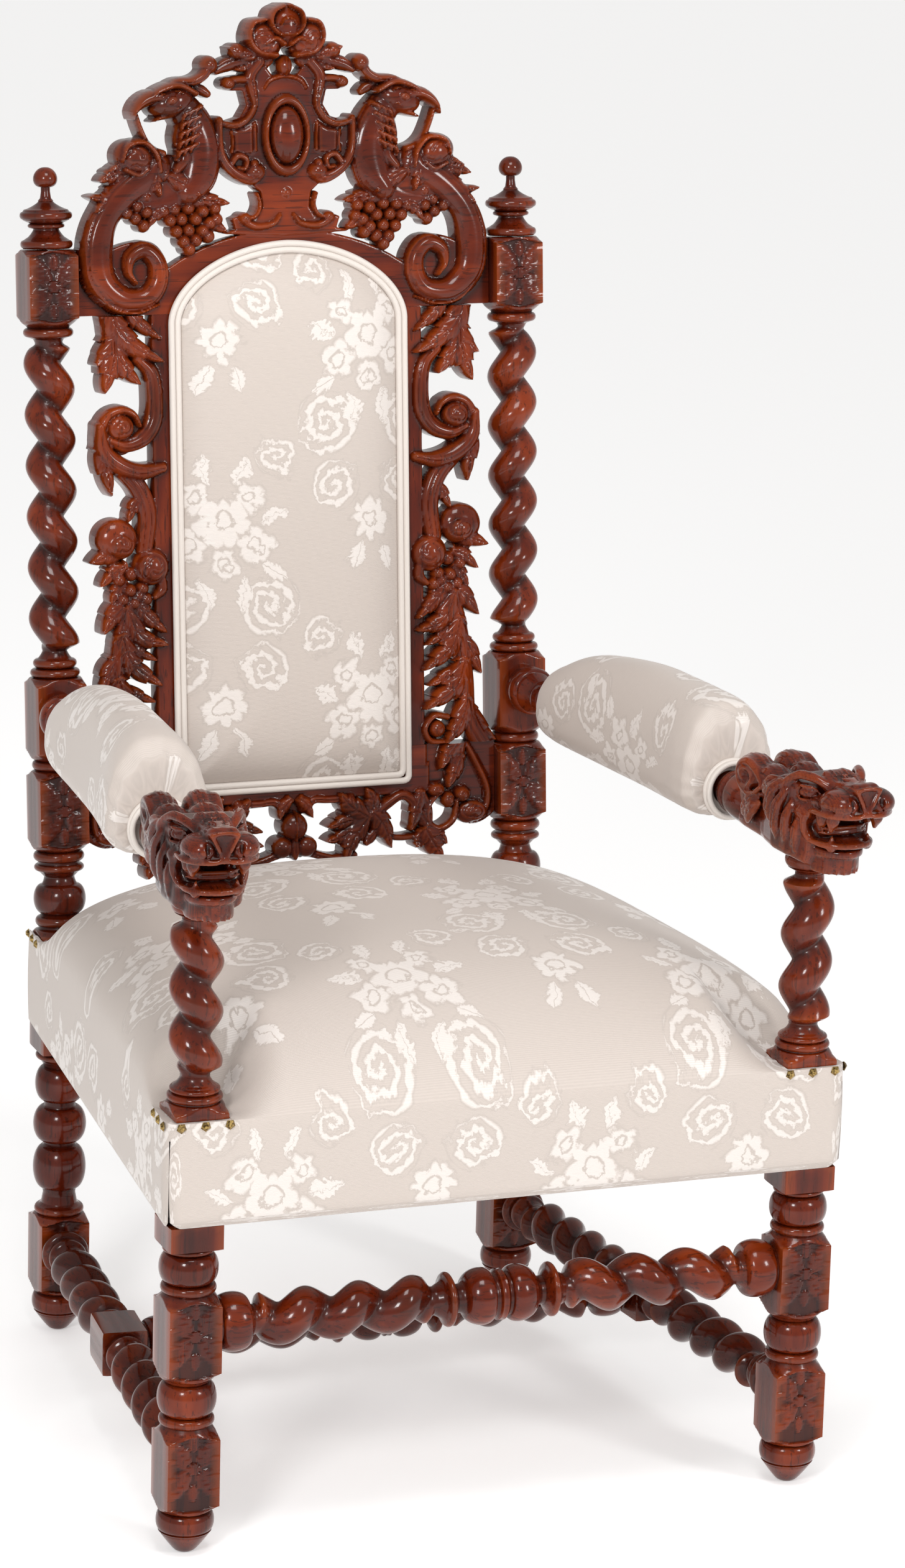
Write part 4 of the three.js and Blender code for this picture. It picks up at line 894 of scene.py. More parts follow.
backPad = {"count": 91, "walls": 3, "inset": 12.5, "rise": 29.0, "roll": 26.0, "welt": 3.7}


def padSides(inset):
    # Outline of the back pad: straight sides to the shoulders, then a superellipse arch.
    half, top = body["padHalf"] - inset, body["padTop"] - inset
    low, shoulder, power = body["padBottom"] + inset, body["padShoulder"], body["archPower"]
    turn = np.linspace(0, np.pi, 61)
    arch = [(half * np.sign(np.cos(t)) * np.abs(np.cos(t)) ** (2 / power),
             shoulder + (top - shoulder) * np.sin(t) ** (2 / power)) for t in turn]
    corner = 5.0
    bottom = [(-half, low + corner), (-half + corner * 0.3, low + corner * 0.3), (-half + corner, low),
              (half - corner, low), (half - corner * 0.3, low + corner * 0.3), (half, low + corner)]
    return [bottom, [(half, low + corner), (half, shoulder)], arch, [(-half, shoulder),
        (-half, low + corner)]]


sides = padSides(backPad["inset"])
a, b, ring, round4 = shellGrid(backPad["count"])
plan = alongSides(sides, round4)
centre = np.array([0.0, 470.0])
flat = centre + (plan - centre) * ring[..., None]
line = alongSides(sides, np.arange(0, 4, 0.02))
away = awayFrom(flat, line)
off = 15.5 + backPad["rise"] * (1 - np.exp(-away / backPad["roll"])) * (0.9 + 0.1 * (1 - ring**2))
top = boardPlace(flat[..., 0], flat[..., 1], off)
rim = alongSides(sides, round4.ravel()[edgeLoop(backPad["count"])])
within = alongSides(padSides(14.4), round4.ravel()[edgeLoop(backPad["count"])])
walls = np.stack([boardPlace(rim[:, 0], rim[:, 1], 14.7)] + [boardPlace(within[:, 0], within[:, 1],
    level) for level in (14.6, -6.0)])
bottom = boardPlace(flat[..., 0] * 0.98, centre[1] + (flat[..., 1] - centre[1]) * 0.992, -7.0 - 2.0
    * (1 - ring**4))
points, faces = pillow(top, walls, bottom)
uvFlat = flat.reshape(-1, 2)
padUv = np.concatenate([uvFlat, uvFlat, np.tile(rim, (3, 1))]) * 0.001
backCushion = addPiece("upholstered_back", points, faces, damask, ["back_pad"], uv=padUv)


def sweptWelt(name, path, radius, outwardAxis, material, sides=10):
    # A piping cord: a small circle carried round a closed path, with fine ribs of its own weave.
    path = np.array(path, float)
    along = np.roll(path, -1, 0) - np.roll(path, 1, 0)
    along /= np.linalg.norm(along, axis=1)[:, None]
    axis = np.broadcast_to(np.array(outwardAxis, float), along.shape)
    side = np.cross(along, axis)
    side /= np.linalg.norm(side, axis=1)[:, None]
    upwards = np.cross(side, along)
    turn = np.arange(sides) / sides * 2 * np.pi
    grid = path[:, None] + radius * (np.cos(turn)[None, :, None] * side[:, None] + np.sin(turn)[None, :,
        None] * upwards[:, None])
    rows, columns = grid.shape[:2]
    i, j = np.arange(rows)[:, None], np.arange(columns)[None, :]
    k, m = (i + 1) % rows, (j + 1) % columns
    faces = np.stack([i * columns + j, i * columns + m, k * columns + m, k * columns + j], -1).reshape(-1, 4)
    run = np.cumsum(np.linalg.norm(np.roll(path, -1, 0) - path, axis=1)) * 0.001
    uv = np.stack([np.repeat(run, columns), np.tile(turn * radius * 0.001, rows)], -1)
    return addPiece(name, grid.reshape(-1, 3), [faces], material, uv=uv)


facing = boardPlace(0.0, 0.0, 1.0) - boardPlace(0.0, 0.0, 0.0)
for k, inset in enumerate((backPad["welt"], backPad["welt"] * 2.85)):
    line = alongSides(padSides(inset), np.arange(0, 4, 0.008))
    sweptWelt("back_welt_%d" % (k + 1), boardPlace(line[:, 0], line[:, 1], body["boardFront"] + 0.3
        + backPad["welt"]),
              backPad["welt"], facing, plainCloth)
print("back pad and welts")

armPad = {"from": 172.5, "to": 566.0, "power": 2.35, "columns": 96, "rows": 96, "bore": 18.6, "cuff": 31.0,
          "rings": [(0, 46, 74, 26), (0.03, 53, 88, 31), (0.07, 53, 93, 32), (0.15, 50, 95, 33),
          (0.35, 45, 96, 34), (0.65, 44, 85, 35),
                    (0.80, 45, 73, 35), (0.90, 44, 57, 34), (0.965, 38, 44, 31), (1, 27, 28, 23)]}


def smoothThrough(x, keys, values):
    # Cubic through the keys whose slope at each key is the mean of its two spans' slopes.
    keys, values = np.array(keys, float), np.array(values, float)
    spans = np.diff(values) / np.diff(keys)
    slopes = np.concatenate([[spans[0]], np.where(spans[1:] * spans[:-1] > 0, (spans[1:] + spans[:-1])
        / 2, 0), [spans[-1]]])
    k = np.clip(np.searchsorted(keys, x, "right") - 1, 0, len(keys) - 2)
    h = keys[k + 1] - keys[k]
    t = (x - keys[k]) / h
    return (values[k] * (1 + 2 * t) * (1 - t) ** 2 + values[k + 1] * t * t * (3 - 2 * t)
            + slopes[k] * h * t * (1 - t) ** 2 - slopes[k + 1] * h * t * t * (1 - t))


for side, word in ((-1, "left"), (1, "right")):
    share = np.linspace(0, 1, armPad["rows"])
    share = 0.35 * share + 0.65 * (0.5 - 0.5 * np.cos(np.pi * share))
    keys = [r[0] for r in armPad["rings"]]
    half, rise, sink = (smoothThrough(share, keys, [r[k] for r in armPad["rings"]])[:, None] for k in (1,
        2, 3))
    turn = np.arange(armPad["columns"]) / armPad["columns"] * 2 * np.pi
    upwards, sidewards = np.cos(turn)[None], np.sin(turn)[None]
    reach = np.where(upwards > 0, rise, sink)
    power = armPad["power"]
    radius = ((np.abs(upwards) / reach) ** power + (np.abs(sidewards) / half) ** power) ** (-1 / power)
    t = armPad["from"] + share[:, None] * (armPad["to"] - armPad["from"])
    pleats = np.exp(-(t - armPad["from"]) / 13) + 0.8 * np.exp(-(armPad["to"] - t) / 12)
    phase = 0.6 * np.sin(3 * turn) + 0.4 * np.sin(5 * turn + 1)
    radius = radius * (1 + 0.020 * pleats * np.cos(19 * turn + phase * 2)[None])
    wide = np.repeat(t, len(turn), 1)
    caps = []
    for share2, lift in ((0.0, 0.8), (0.25, 0.0), (0.5, -0.8), (0.75, -1.0), (0.92, -0.6)):
        cuff = armPad["cuff"] + 0 * turn
        ringRadius = cuff + (radius[0] - cuff) * share2
        ringRadius = ringRadius + 0.9 * np.cos(19 * turn + phase * 2) * share2
        caps.append((ringRadius, armPad["from"] + lift + 0.8 * np.cos(19 * turn + phase * 2)
            * np.sin(np.pi * share2)))
    bore = np.full(len(turn), armPad["bore"])
    ends = [(np.full(len(turn), 24.0), np.full(len(turn), armPad["from"] + 2.0))]
    back = [(radius[-1] * 0.85, np.full(len(turn), armPad["to"] + 1.0)),
        (bore, np.full(len(turn), armPad["to"]))]
    rowsR = np.array([bore] + [e[0] for e in ends] + [c[0] for c in caps] + list(radius)
        + [e[0] for e in back])
    rowsT = np.array([np.full(len(turn), armPad["from"] + 4.0)] + [e[1] for e in ends]
        + [c[1] for c in caps] + list(wide) + [e[1] for e in back])
    grid = armPlace(side, rowsT, rowsR * sidewards, body["armHeight"] + rowsR * upwards)
    rows, columns = rowsR.shape
    i, j = np.arange(rows)[:, None], np.arange(columns)[None]
    k, m = (i + 1) % rows, (j + 1) % columns
    faces = np.stack([i * columns + j, i * columns + m, k * columns + m, k * columns + j], -1).reshape(-1, 4)
    signed = (turn + np.pi) % (2 * np.pi) - np.pi
    uv = np.stack([signed[None] * 62 + 0 * rowsT, -rowsT + 0 * rowsR], -1).reshape(-1, 2) * 0.001
    uv[:, 0] += 0.02 if side > 0 else -0.05
    pad = addPiece("upholstered_arm_" + word, grid.reshape(-1, 3), [faces], damask,
        ["arm_pad_" + word], uv=uv)
    for n, (ringSize, place) in enumerate(((30.5, -1.5), (29.0, -7.0))):
        angle = np.arange(120) / 120 * 2 * np.pi
        path = armPlace(side, np.full(120, armPad["from"] + place), ringSize * np.sin(angle),
            body["armHeight"] + ringSize * np.cos(angle))
        axis = armPlace(side, np.array(1.0), 0.0, 0.0) - armPlace(side, np.array(0.0), 0.0, 0.0)
        sweptWelt("arm_welt_%s_%d" % (word, n + 1), path, 3.0, axis.ravel(), plainCloth)
print("arm pads")

# Carved and pierced boards.
# Each board is a height over a flat grid: every motif gives a distance inside its outline and a height,
# and the board keeps the greatest of both. Where no motif reaches, the board is pierced.
carving = {"step": 1.4, "ground": 14.0, "low": 11.0, "leaf": 21.0, "knob": 28.0, "joint": (711.0, 222.0)}


def newBoard(u0, u1, v0, v1):
    step = carving["step"]
    u, v = np.meshgrid(np.arange(u0, u1 + step, step), np.arange(v0, v1 + step, step))
    return {"u": u, "v": v, "inside": np.full(u.shape, -9.0), "height": np.full(u.shape, -9.0)}


def window(board, low, high, margin=4.0):
    # Index ranges of the part of the grid between two corners.
    rows = np.searchsorted(board["v"][:, 0], [low[1] - margin, high[1] + margin])
    columns = np.searchsorted(board["u"][0], [low[0] - margin, high[0] + margin])
    return slice(*rows), slice(*columns)


def stamp(board, part, inside, height):
    board["inside"][part] = np.maximum(board["inside"][part], inside)
    board["height"][part] = np.where(inside > -1.9, np.maximum(board["height"][part], height),
        board["height"][part])


def roundedTop(inside, radius):
    return np.sqrt(1 - (1 - np.clip(inside / np.maximum(radius, 0.3), 0, 1)) ** 2)


def smoothLine(path, widths, count=None):
    # Catmull-Rom curve through the path, with the widths eased along it.
    p = np.array(path, float)
    count = count or max(14, int(np.hypot(*np.diff(p, axis=0).T).sum() / 3.5))
    p = np.concatenate([[2 * p[0] - p[1]], p, [2 * p[-1] - p[-2]]])
    t = np.linspace(0, len(path) - 1 - 1e-6, count)
    k = t.astype(int)
    f = (t - k)[:, None]
    a, b, c, d = p[k], p[k + 1], p[k + 2], p[k + 3]
    line = 0.5 * (2 * b + (c - a) * f + (2 * a - 5 * b + 4 * c - d) * f**2 + (3 * b - a - 3 * c + d) * f**3)
    return line, np.interp(np.linspace(0, 1, count), np.linspace(0, 1, len(widths)), widths) / 2


def strokeField(board, path, widths):
    # For grid points near a smooth line: signed offset from it, its half width there, and the place
    # along it, 0 to 1.
    line, half = smoothLine(path, widths)
    part = window(board, line.min(0) - half.max(), line.max(0) + half.max())
    u, v = board["u"][part], board["v"][part]
    best, offset, wide, place = (np.full(u.shape, x) for x in (1e9, 1e9, 0.0, 0.0))
    total = len(line) - 1
    for k in range(total):
        (u0, v0), (du, dv) = line[k], line[k + 1] - line[k]
        length2 = max(du * du + dv * dv, 1e-9)
        t = np.clip(((u - u0) * du + (v - v0) * dv) / length2, 0, 1)
        eu, ev = u - u0 - t * du, v - v0 - t * dv
        distance = np.hypot(eu, ev)
        local = half[k] + (half[k + 1] - half[k]) * t
        closer = distance - local < best
        best = np.where(closer, distance - local, best)
        offset = np.where(closer, distance * np.sign(ev * du - eu * dv + 1e-9), offset)
        wide = np.where(closer, local, wide)
        place = np.where(closer, (k + t) / total, place)
    return part, offset, wide, place


def groove(offset, at, wide, depth=1.5):
    return depth * np.exp(-((offset - at) / wide) ** 2)


def ribbon(board, path, widths, top=None, low=None, lines=(), crown=None):
    # A band along a line: a rounded section, crown being the radius of its edges, with cut lines at
    # shares of its half width.
    top, low = top or carving["leaf"], low or carving["low"]
    part, offset, wide, place = strokeField(board, path, widths)
    inside = wide - np.abs(offset)
    height = low + (top - low) * roundedTop(inside, wide if crown is None else np.minimum(wide, crown))
    for share in lines:
        height = height - groove(offset, share * wide, 0.9) * (wide > 3)
    stamp(board, part, inside, height)


def acanthus(board, path, width, lobes=4, top=None, low=None, curl=2.0, deep=0.34):
    # A leaf along a line. Its half width is an arch along it, notched by forward-leaning lobes; veins
    # run into each lobe.
    top, low = top or carving["leaf"], low or carving["low"]
    part, offset, wide, place = strokeField(board, path, [width, width])
    spread = np.sin(np.pi * np.clip(0.10 + 0.90 * place, 0, 1) ** 0.8) ** 0.75
    share = np.abs(offset) / (width / 2)
    saw = (lobes * (place - 0.16 * share)) % 1.0
    notch = 1 - deep * (1 - saw) ** 2.2 * (place > 0.04)
    half = width / 2 * spread * notch
    ends = np.minimum(place, 1 - place) <= 0
    inside = np.where(ends, -np.abs(offset) - 0.2, half - np.abs(offset))
    arch = roundedTop(inside, np.maximum(half, 2.0) * 0.9)
    height = low + (top - low) * arch + curl * place**2 * arch
    height = height - groove(offset, 0.0, 0.8, 1.6) * (place > 0.05) * (place < 0.93)
    vein = np.clip(np.cos(2 * np.pi * (lobes * (place - 0.30 * share) - 0.02)), 0, 1) ** 5
    height = height - 1.3 * vein * (share > 0.12) * arch
    height = height - 0.8 * np.clip(np.cos(2 * np.pi * (lobes * (place - 0.30 * share) + 0.45)), 0,
        1) ** 8 * arch * (share > 0.2)
    stamp(board, part, inside, height)


def dome(board, centre, ru, rv, top=None, angle=0.0, low=None, full=1.0):
    # Part of an ellipsoid standing on the board: height = low + (top - low) sqrt(1 - rho^2).
    top, low = top or carving["knob"], low or carving["low"]
    reach = max(ru, rv)
    part = window(board, np.array(centre) - reach, np.array(centre) + reach)
    u, v = board["u"][part] - centre[0], board["v"][part] - centre[1]
    c, s = np.cos(angle), np.sin(angle)
    rho = np.hypot((u * c + v * s) / ru, (v * c - u * s) / rv)
    inside = (1 - rho) * min(ru, rv)
    height = low + (top - low) * np.sqrt(np.clip(1 - np.clip(rho, 0, 1) ** (2 * full), 0, 1))
    stamp(board, part, inside, height)
    return part, rho, np.arctan2(v * c - u * s, u * c + v * s)


def bud(board, centre, ru, rv, angle=0.0, top=None, petals=3):
    # A closed bud: an ellipsoid wrapped by overlapping petals, each cut by a curved line.
    part, rho, turn = dome(board, centre, ru, rv, top, angle)
    cut = np.zeros_like(rho)
    for k in range(petals):
        line = rho - (0.42 + 0.22 * np.cos(turn - 2.1 * k) + 0.1 * k)
        cut = np.maximum(cut, np.exp(-(line / 0.07) ** 2) * (np.cos(turn - 2.1 * k - 0.6) > -0.55))
    board["height"][part] = board["height"][part] - 1.6 * cut * (rho < 0.9)


def berries(board, centres, radius, top=None):
    for k, centre in enumerate(centres):
        dome(board, centre, radius, radius, (top or carving["leaf"] + 2) + 1.2 * ((k * 7) % 3 - 1))


def insideShape(u, v, line):
    # True inside a closed polyline, by counting the spans that a ray crosses.
    crossed = np.zeros(u.shape, bool)
    for (u0, v0), (u1, v1) in zip(line, np.roll(line, -1, 0)):
        if v0 != v1:
            crossed ^= ((v0 > v) != (v1 > v)) & (u < (u1 - u0) * (v - v0) / (v1 - v0) + u0)
    return crossed


def panel(board, outline, top=None, edge=2.0, smooth=True):
    # A flat piece of board with softened edges inside an outline of points, joined by a smooth or a
    # straight line.
    top = top or carving["ground"]
    line = smoothLine(list(outline) + [outline[0]], [2, 2])[0][:-1] if smooth else np.array(outline, float)
    part = window(board, line.min(0), line.max(0))
    u, v = board["u"][part], board["v"][part]
    away = awayFrom(np.stack([u, v], -1), line)
    inside = np.where(insideShape(u, v, line), away, -away)
    stamp(board, part, inside, top - 2.0 * (1 - roundedTop(inside, edge)))


def limit(board, low, high, half=None):
    # Trims the board to its joints and posts, and round the opening for the back pad.
    u, v = board["u"], board["v"]
    half = half or backHalf - body["blockHalf"] - body["gap"]
    inside = np.minimum.reduce([board["inside"], v - low, high - v, half - np.abs(u)])
    opening = alongSides(padSides(13.7), np.arange(0, 4, 0.02))
    near = awayFrom(np.stack([u, v], -1), opening)
    within = insideShape(u, v, opening)
    board["inside"] = np.minimum(inside, np.where(within, -near, near))


def boardShell(board):
    # Marching squares round the outline: cells inside give quads, the rim gets walls down to a flat
    # back.
    inside, height, u, v = (board[k] for k in ("inside", "height", "u", "v"))
    inside = np.where(np.abs(inside) < 1e-3, 1e-3, inside)
    rows, columns = inside.shape
    solid = inside > 0
    # painted shade: points lower than the blurred relief round them are marked for darkening in the oak
    # finish
    painted_recess_shade = np.clip((softBlur(np.maximum(height, 0), 4) - height) / 4.5, 0, 1) * solid
    wear = np.clip((height - softBlur(np.maximum(height, 6), 2)) / 1.6, 0, 1) * solid
    numbers = np.full(inside.shape, -1)
    numbers[solid] = np.arange(solid.sum())
    points = [np.stack([u[solid], v[solid], height[solid]], -1)]
    spots = [np.stack([painted_recess_shade[solid], wear[solid]], -1)]
    total = solid.sum()
    crossings = []
    for shift in ((0, 1), (1, 0)):  # edges along u, then along v
        one = (slice(0, rows - shift[0]), slice(0, columns - shift[1]))
        two = (slice(shift[0], rows), slice(shift[1], columns))
        cut = solid[one] != solid[two]
        t = (inside[one] / (inside[one] - inside[two]))[cut]
        mixed = [a[one][cut] + (a[two][cut] - a[one][cut]) * t for a in (u, v)]
        outer = np.where(solid[one][cut], height[two][cut], height[one][cut])
        inner = np.where(solid[one][cut], height[one][cut], height[two][cut])
        level = np.where(outer > 0, np.minimum(outer, inner), inner)
        here = np.full(cut.shape, -1)
        here[cut] = total + np.arange(cut.sum())
        total += cut.sum()
        points.append(np.stack(mixed + [level], -1))
        # the rim walls take the painted shade of their solid side, and a fixed wear of 0.3
        spots.append(np.stack([np.where(solid[one][cut], painted_recess_shade[one][cut], painted_recess_shade[two][cut]), 0.3 + 0
            * t], -1))
        crossings.append(here)
    cell = (slice(0, rows - 1), slice(0, columns - 1))
    around = [numbers[:-1, :-1], numbers[:-1, 1:], numbers[1:, 1:], numbers[1:, :-1],
              crossings[0][:-1], crossings[1][:, 1:], crossings[0][1:], crossings[1][:, :-1]]
    case = solid[:-1, :-1] * 1 + solid[:-1, 1:] * 2 + solid[1:, 1:] * 4 + solid[1:, :-1] * 8
    table = {1: [(0, 4, 7)], 2: [(1, 5, 4)], 4: [(2, 6, 5)], 8: [(3, 7, 6)], 3: [(0, 1, 5, 7)],
        6: [(1, 2, 6, 4)],
             12: [(2, 3, 7, 5)], 9: [(3, 0, 4, 6)], 7: [(0, 1, 2, 6), (0, 6, 7)], 14: [(1, 2, 3, 7),
             (1, 7, 4)],
             13: [(2, 3, 0, 4), (2, 4, 5)], 11: [(3, 0, 1, 5), (3, 5, 6)], 15: [(0, 1, 2, 3)],
             5: [(0, 4, 7), (2, 6, 5)], 10: [(1, 5, 4), (3, 7, 6)]}
    rims = {1: [(4, 7)], 2: [(5, 4)], 4: [(6, 5)], 8: [(7, 6)], 3: [(5, 7)], 6: [(6, 4)], 12: [(7, 5)],
        9: [(4, 6)],
            7: [(6, 7)], 14: [(7, 4)], 13: [(4, 5)], 11: [(5, 6)], 5: [(4, 7), (6, 5)], 10: [(5, 4), (7, 6)]}
    pick = lambda corners, here: np.stack([around[c][here] for c in corners], -1)
    threes = [pick(f, case == n) for n, shapes in table.items() for f in shapes if len(f) == 3]
    fours = [pick(f, case == n) for n, shapes in table.items() for f in shapes if len(f) == 4]
    rim = np.concatenate([pick(f, case == n) for n, shapes in rims.items() for f in shapes])
    points = np.concatenate(points)
    spots = np.concatenate(spots)
    first = solid.sum()  # rim points come after the grid's own
    under = points[first:].copy()
    under[:, 2] = body["boardBack"]
    points = np.concatenate([points, under])
    # the flat back gets a little painted shade and no wear
    spots = np.concatenate([spots, np.tile([0.15, 0.0], (len(under), 1))])
    down = total - first
    walls = np.stack([rim[:, 0], rim[:, 1], rim[:, 1] + down, rim[:, 0] + down], -1)
    flat = delaunay_2d_cdt([Vector(p[:2]) for p in under], (rim - first).tolist(), [], 0, 1e-7)
    made = np.array(flat[2]) if len(flat[0]) == len(under) else np.zeros((0, 3), int)
    order = np.array([k[0] if k else -1 for k in flat[3]])
    made = order[made] + total
    middle = points[made].mean(1)
    i = np.clip(((middle[:, 1] - v[0, 0]) / carving["step"]).astype(int), 0, rows - 2)
    j = np.clip(((middle[:, 0] - u[0, 0]) / carving["step"]).astype(int), 0, columns - 2)
    fu = (middle[:, 0] - u[0, 0]) / carving["step"] - j
    fv = (middle[:, 1] - v[0, 0]) / carving["step"] - i
    there = (inside[i, j] * (1 - fu) * (1 - fv) + inside[i, j + 1] * fu * (1 - fv)
             + inside[i + 1, j] * (1 - fu) * fv + inside[i + 1, j + 1] * fu * fv)
    back = made[there > 0][:, ::-1]
    faces = [np.concatenate(threes + [back]), np.concatenate(fours + [walls[:, ::-1]])]
    return boardPlace(points[:, 0], points[:, 1], points[:, 2]), faces, {"painted_recess_shade": spots[:, 0],
        "wear": spots[:, 1]}


def mirrorBoard(board):
    # Joins a right-hand half board to its mirror image about u = 0.
    return {"u": np.concatenate([-board["u"][:, :0:-1], board["u"]], 1),
        "v": np.concatenate([board["v"][:, :0:-1], board["v"]], 1),
            "inside": np.concatenate([board["inside"][:, :0:-1], board["inside"]], 1),
            "height": np.concatenate([board["height"][:, :0:-1], board["height"]], 1)}


def flipBoard(board):
    return {"u": -board["u"][:, ::-1], "v": board["v"], "inside": board["inside"][:, ::-1],
        "height": board["height"][:, ::-1]}


# The crest.
def carveCrest():
    board = newBoard(0, 243, 706, 1053)
    low, arch = carving["joint"][0] - 4, []
    outer = [(178 * np.cos(t) ** (2 / 1.85), 700 + 100 * np.sin(t) ** (2
        / 1.85)) for t in np.linspace(0.12, np.pi / 2, 16)]
    panel(board, [(110, low), (178, low)] + outer + [(-8, 800), (-8, 770)], smooth=False)
    panel(board, [(150, low), (241, low), (241, 783), (150, 783)], top=4.0, smooth=False)
    # tail: a broad band rolled into a volute, a cut line along its outer edge
    panel(board, [(184, 715), (150, 722), (136, 748), (138, 772), (156, 790), (190, 786), (214, 770),
        (222, 742)], top=13.0)
    ribbon(board, [(150, 868), (186, 842), (208, 814), (216, 782), (212, 750), (190, 729), (163, 729),
        (149, 745),
                   (149, 767), (163, 781), (179, 774), (182, 758), (174, 746)],
           [40, 36, 33, 37, 36, 31, 26, 25, 24, 22, 20, 16, 10, 5], top=26, lines=(0.62,))
    ribbon(board, [(222, 800), (227, 774), (219, 742), (199, 719), (172, 714), (148, 722)],
        [4, 6, 6, 6, 5, 3], top=22)
    # wing and breast
    ribbon(board, [(112, 846), (134, 834), (160, 830)], [30, 30, 24], top=19)
    dome(board, (148, 850), 46, 30, top=20, angle=-0.4)
    # neck
    ribbon(board, [(122, 940), (104, 915), (96, 888), (100, 860), (112, 842)], [34, 42, 46, 44, 30],
        top=27, lines=(-0.86,))
    ribbon(board, [(118, 922), (120, 900), (116, 880), (126, 866)], [14, 20, 20, 12], top=25)
    # head, brow, eye and beak
    dome(board, (130, 939), 27, 17.5, top=32, angle=-0.28, full=1.2)
    ribbon(board, [(104, 948), (124, 957), (146, 951), (160, 940)], [8, 11, 9, 4], top=31)
    ribbon(board, [(138, 944), (154, 944), (166, 938), (173, 930), (175, 922)], [17, 17, 14, 9, 2],
        top=31, lines=(-0.5,))
    ribbon(board, [(124, 929), (138, 925), (152, 919)], [12, 10, 3], top=25)
    dome(board, (133, 941), 7.5, 5.0, top=35.5, angle=-0.3, low=28)
    for k, (a, b) in enumerate([((120, 948), (129, 951)), ((120, 935), (128, 932)),
        ((141, 948), (147, 945))]):
        ribbon(board, [a, ((a[0] + b[0]) / 2, (a[1] + b[1]) / 2 + 1), b], [2, 4, 2], top=33)
    # neck feathers
    for row in range(5):
        for k in range(3):
            u, v = 103 + 7 * k + 1.5 * row, 930 - 10 * row - 3 * k
            ribbon(board, [(u - 4, v + 4), (u + 1, v + 1), (u + 3, v - 5)], [5, 6, 1.5], top=29.5, low=22)
    # comb over the head, ending in a curl
    ribbon(board, [(150, 948), (126, 960), (106, 961), (94, 967), (88, 977)], [4, 9, 12, 13, 14], top=26,
        lines=(0.2,))
    dome(board, (87, 978), 10.5, 10.5, top=28)
    ribbon(board, [(104, 956), (94, 951), (88, 947)], [10, 12, 9], top=18)
    # snake held in the beak
    ribbon(board, [(171, 927), (166, 912), (159, 897), (150, 888), (140, 884)], [7, 7.5, 8, 9, 9], top=22)
    # curled leaf over the wing
    bud(board, (172, 880), 24, 20, angle=0.35, top=31)
    ribbon(board, [(146, 866), (150, 884), (164, 897), (182, 893), (188, 878)], [8, 9, 8, 8, 5], top=30)
    ribbon(board, [(160, 868), (170, 862), (184, 868)], [8, 10, 7], top=28)
    # leaves of the fruit
    acanthus(board, [(180, 862), (196, 862), (214, 856)], 24, 3, curl=3)
    acanthus(board, [(180, 868), (190, 872), (204, 866)], 13, 2, curl=3)
    acanthus(board, [(180, 850), (200, 838), (219, 823)], 26, 3, curl=4)
    acanthus(board, [(178, 842), (196, 836), (226, 840)], 22, 3, top=18)
    acanthus(board, [(140, 862), (120, 852), (100, 838)], 26, 2, top=25, curl=3)
    acanthus(board, [(150, 874), (150, 856), (146, 838)], 20, 2, top=26, curl=3)
    acanthus(board, [(116, 834), (92, 833), (64, 829)], 22, 3, top=18, curl=1)
    acanthus(board, [(100, 806), (84, 806), (68, 799)], 20, 2, top=17, curl=1)
    acanthus(board, [(140, 826), (150, 818), (158, 806)], 18, 2, top=20, curl=1)
    berries(board, [(160, 838), (172, 846), (184, 836), (170, 828), (182, 821), (160, 822), (172, 815),
        (163, 807), (152, 848), (192, 828)], 7.5)
    berries(board, [(128, 824), (112, 825), (96, 821), (80, 812), (88, 808), (104, 813), (120, 813),
        (133, 812), (96, 800), (112, 801),
                    (126, 800), (90, 794), (104, 790), (118, 789), (112, 781), (140, 822), (82, 824)], 7.6)
    # cartouche: strapwork with a domed oval
    panel(board, [(-8, 792), (-8, 968), (14, 966), (24, 979), (36, 983), (46, 966), (66, 964), (74, 956),
        (62, 950), (48, 950),
                  (44, 934), (52, 921), (66, 917), (80, 921), (80, 882), (72, 866), (58, 856), (38, 848),
                  (29, 840), (27, 824),
                  (34, 812), (50, 817), (62, 812), (58, 800), (76, 796)], top=15.5, smooth=False)
    ribbon(board, [(76, 919), (77, 900), (74, 880), (62, 864), (44, 855), (34, 860), (37, 870)],
        [9, 11, 12, 13, 15, 17, 12], top=24, lines=(0.35,))
    dome(board, (36, 862), 12.5, 10.5, top=27)
    ribbon(board, [(66, 868), (56, 880), (46, 876), (48, 866), (55, 867)], [9, 9, 8, 7, 5], top=23)
    ribbon(board, [(29, 981), (40, 966), (38, 948), (36, 934), (44, 920), (58, 913), (76, 916)],
        [14, 15, 13, 9, 9, 9, 8], top=23, lines=(-0.2,))
    ribbon(board, [(42, 962), (54, 962), (66, 960)], [10, 9, 9], top=22)
    dome(board, (65, 958), 8.5, 7, top=25)
    ribbon(board, [(36, 914), (35, 900), (35, 886)], [6, 5, 6], top=19)
    ribbon(board, [(62, 906), (61, 895), (62, 884)], [5, 4, 5], top=19)
    panel(board, [(38, 913), (47, 908), (59, 906), (58, 885), (47, 882), (38, 883)], top=18.5, edge=2,
        smooth=False)
    ribbon(board, [(8, 815), (16, 806), (34, 803), (46, 808), (50, 813)], [5, 7, 9, 10, 10], top=22)
    dome(board, (48, 812), 8, 7, top=24)
    ribbon(board, [(-3, 965), (8, 964), (18, 960), (24, 952)], [6, 6, 6, 4], top=19)
    ribbon(board, [(34, 838), (31, 826), (36, 815), (46, 812)], [5, 6, 6, 5], top=21)
    dome(board, (0, 839), 7, 7, top=18.5, low=12)
    part = window(board, (0, 855), (30, 948))
    u, v = board["u"][part], board["v"][part] - 901.5
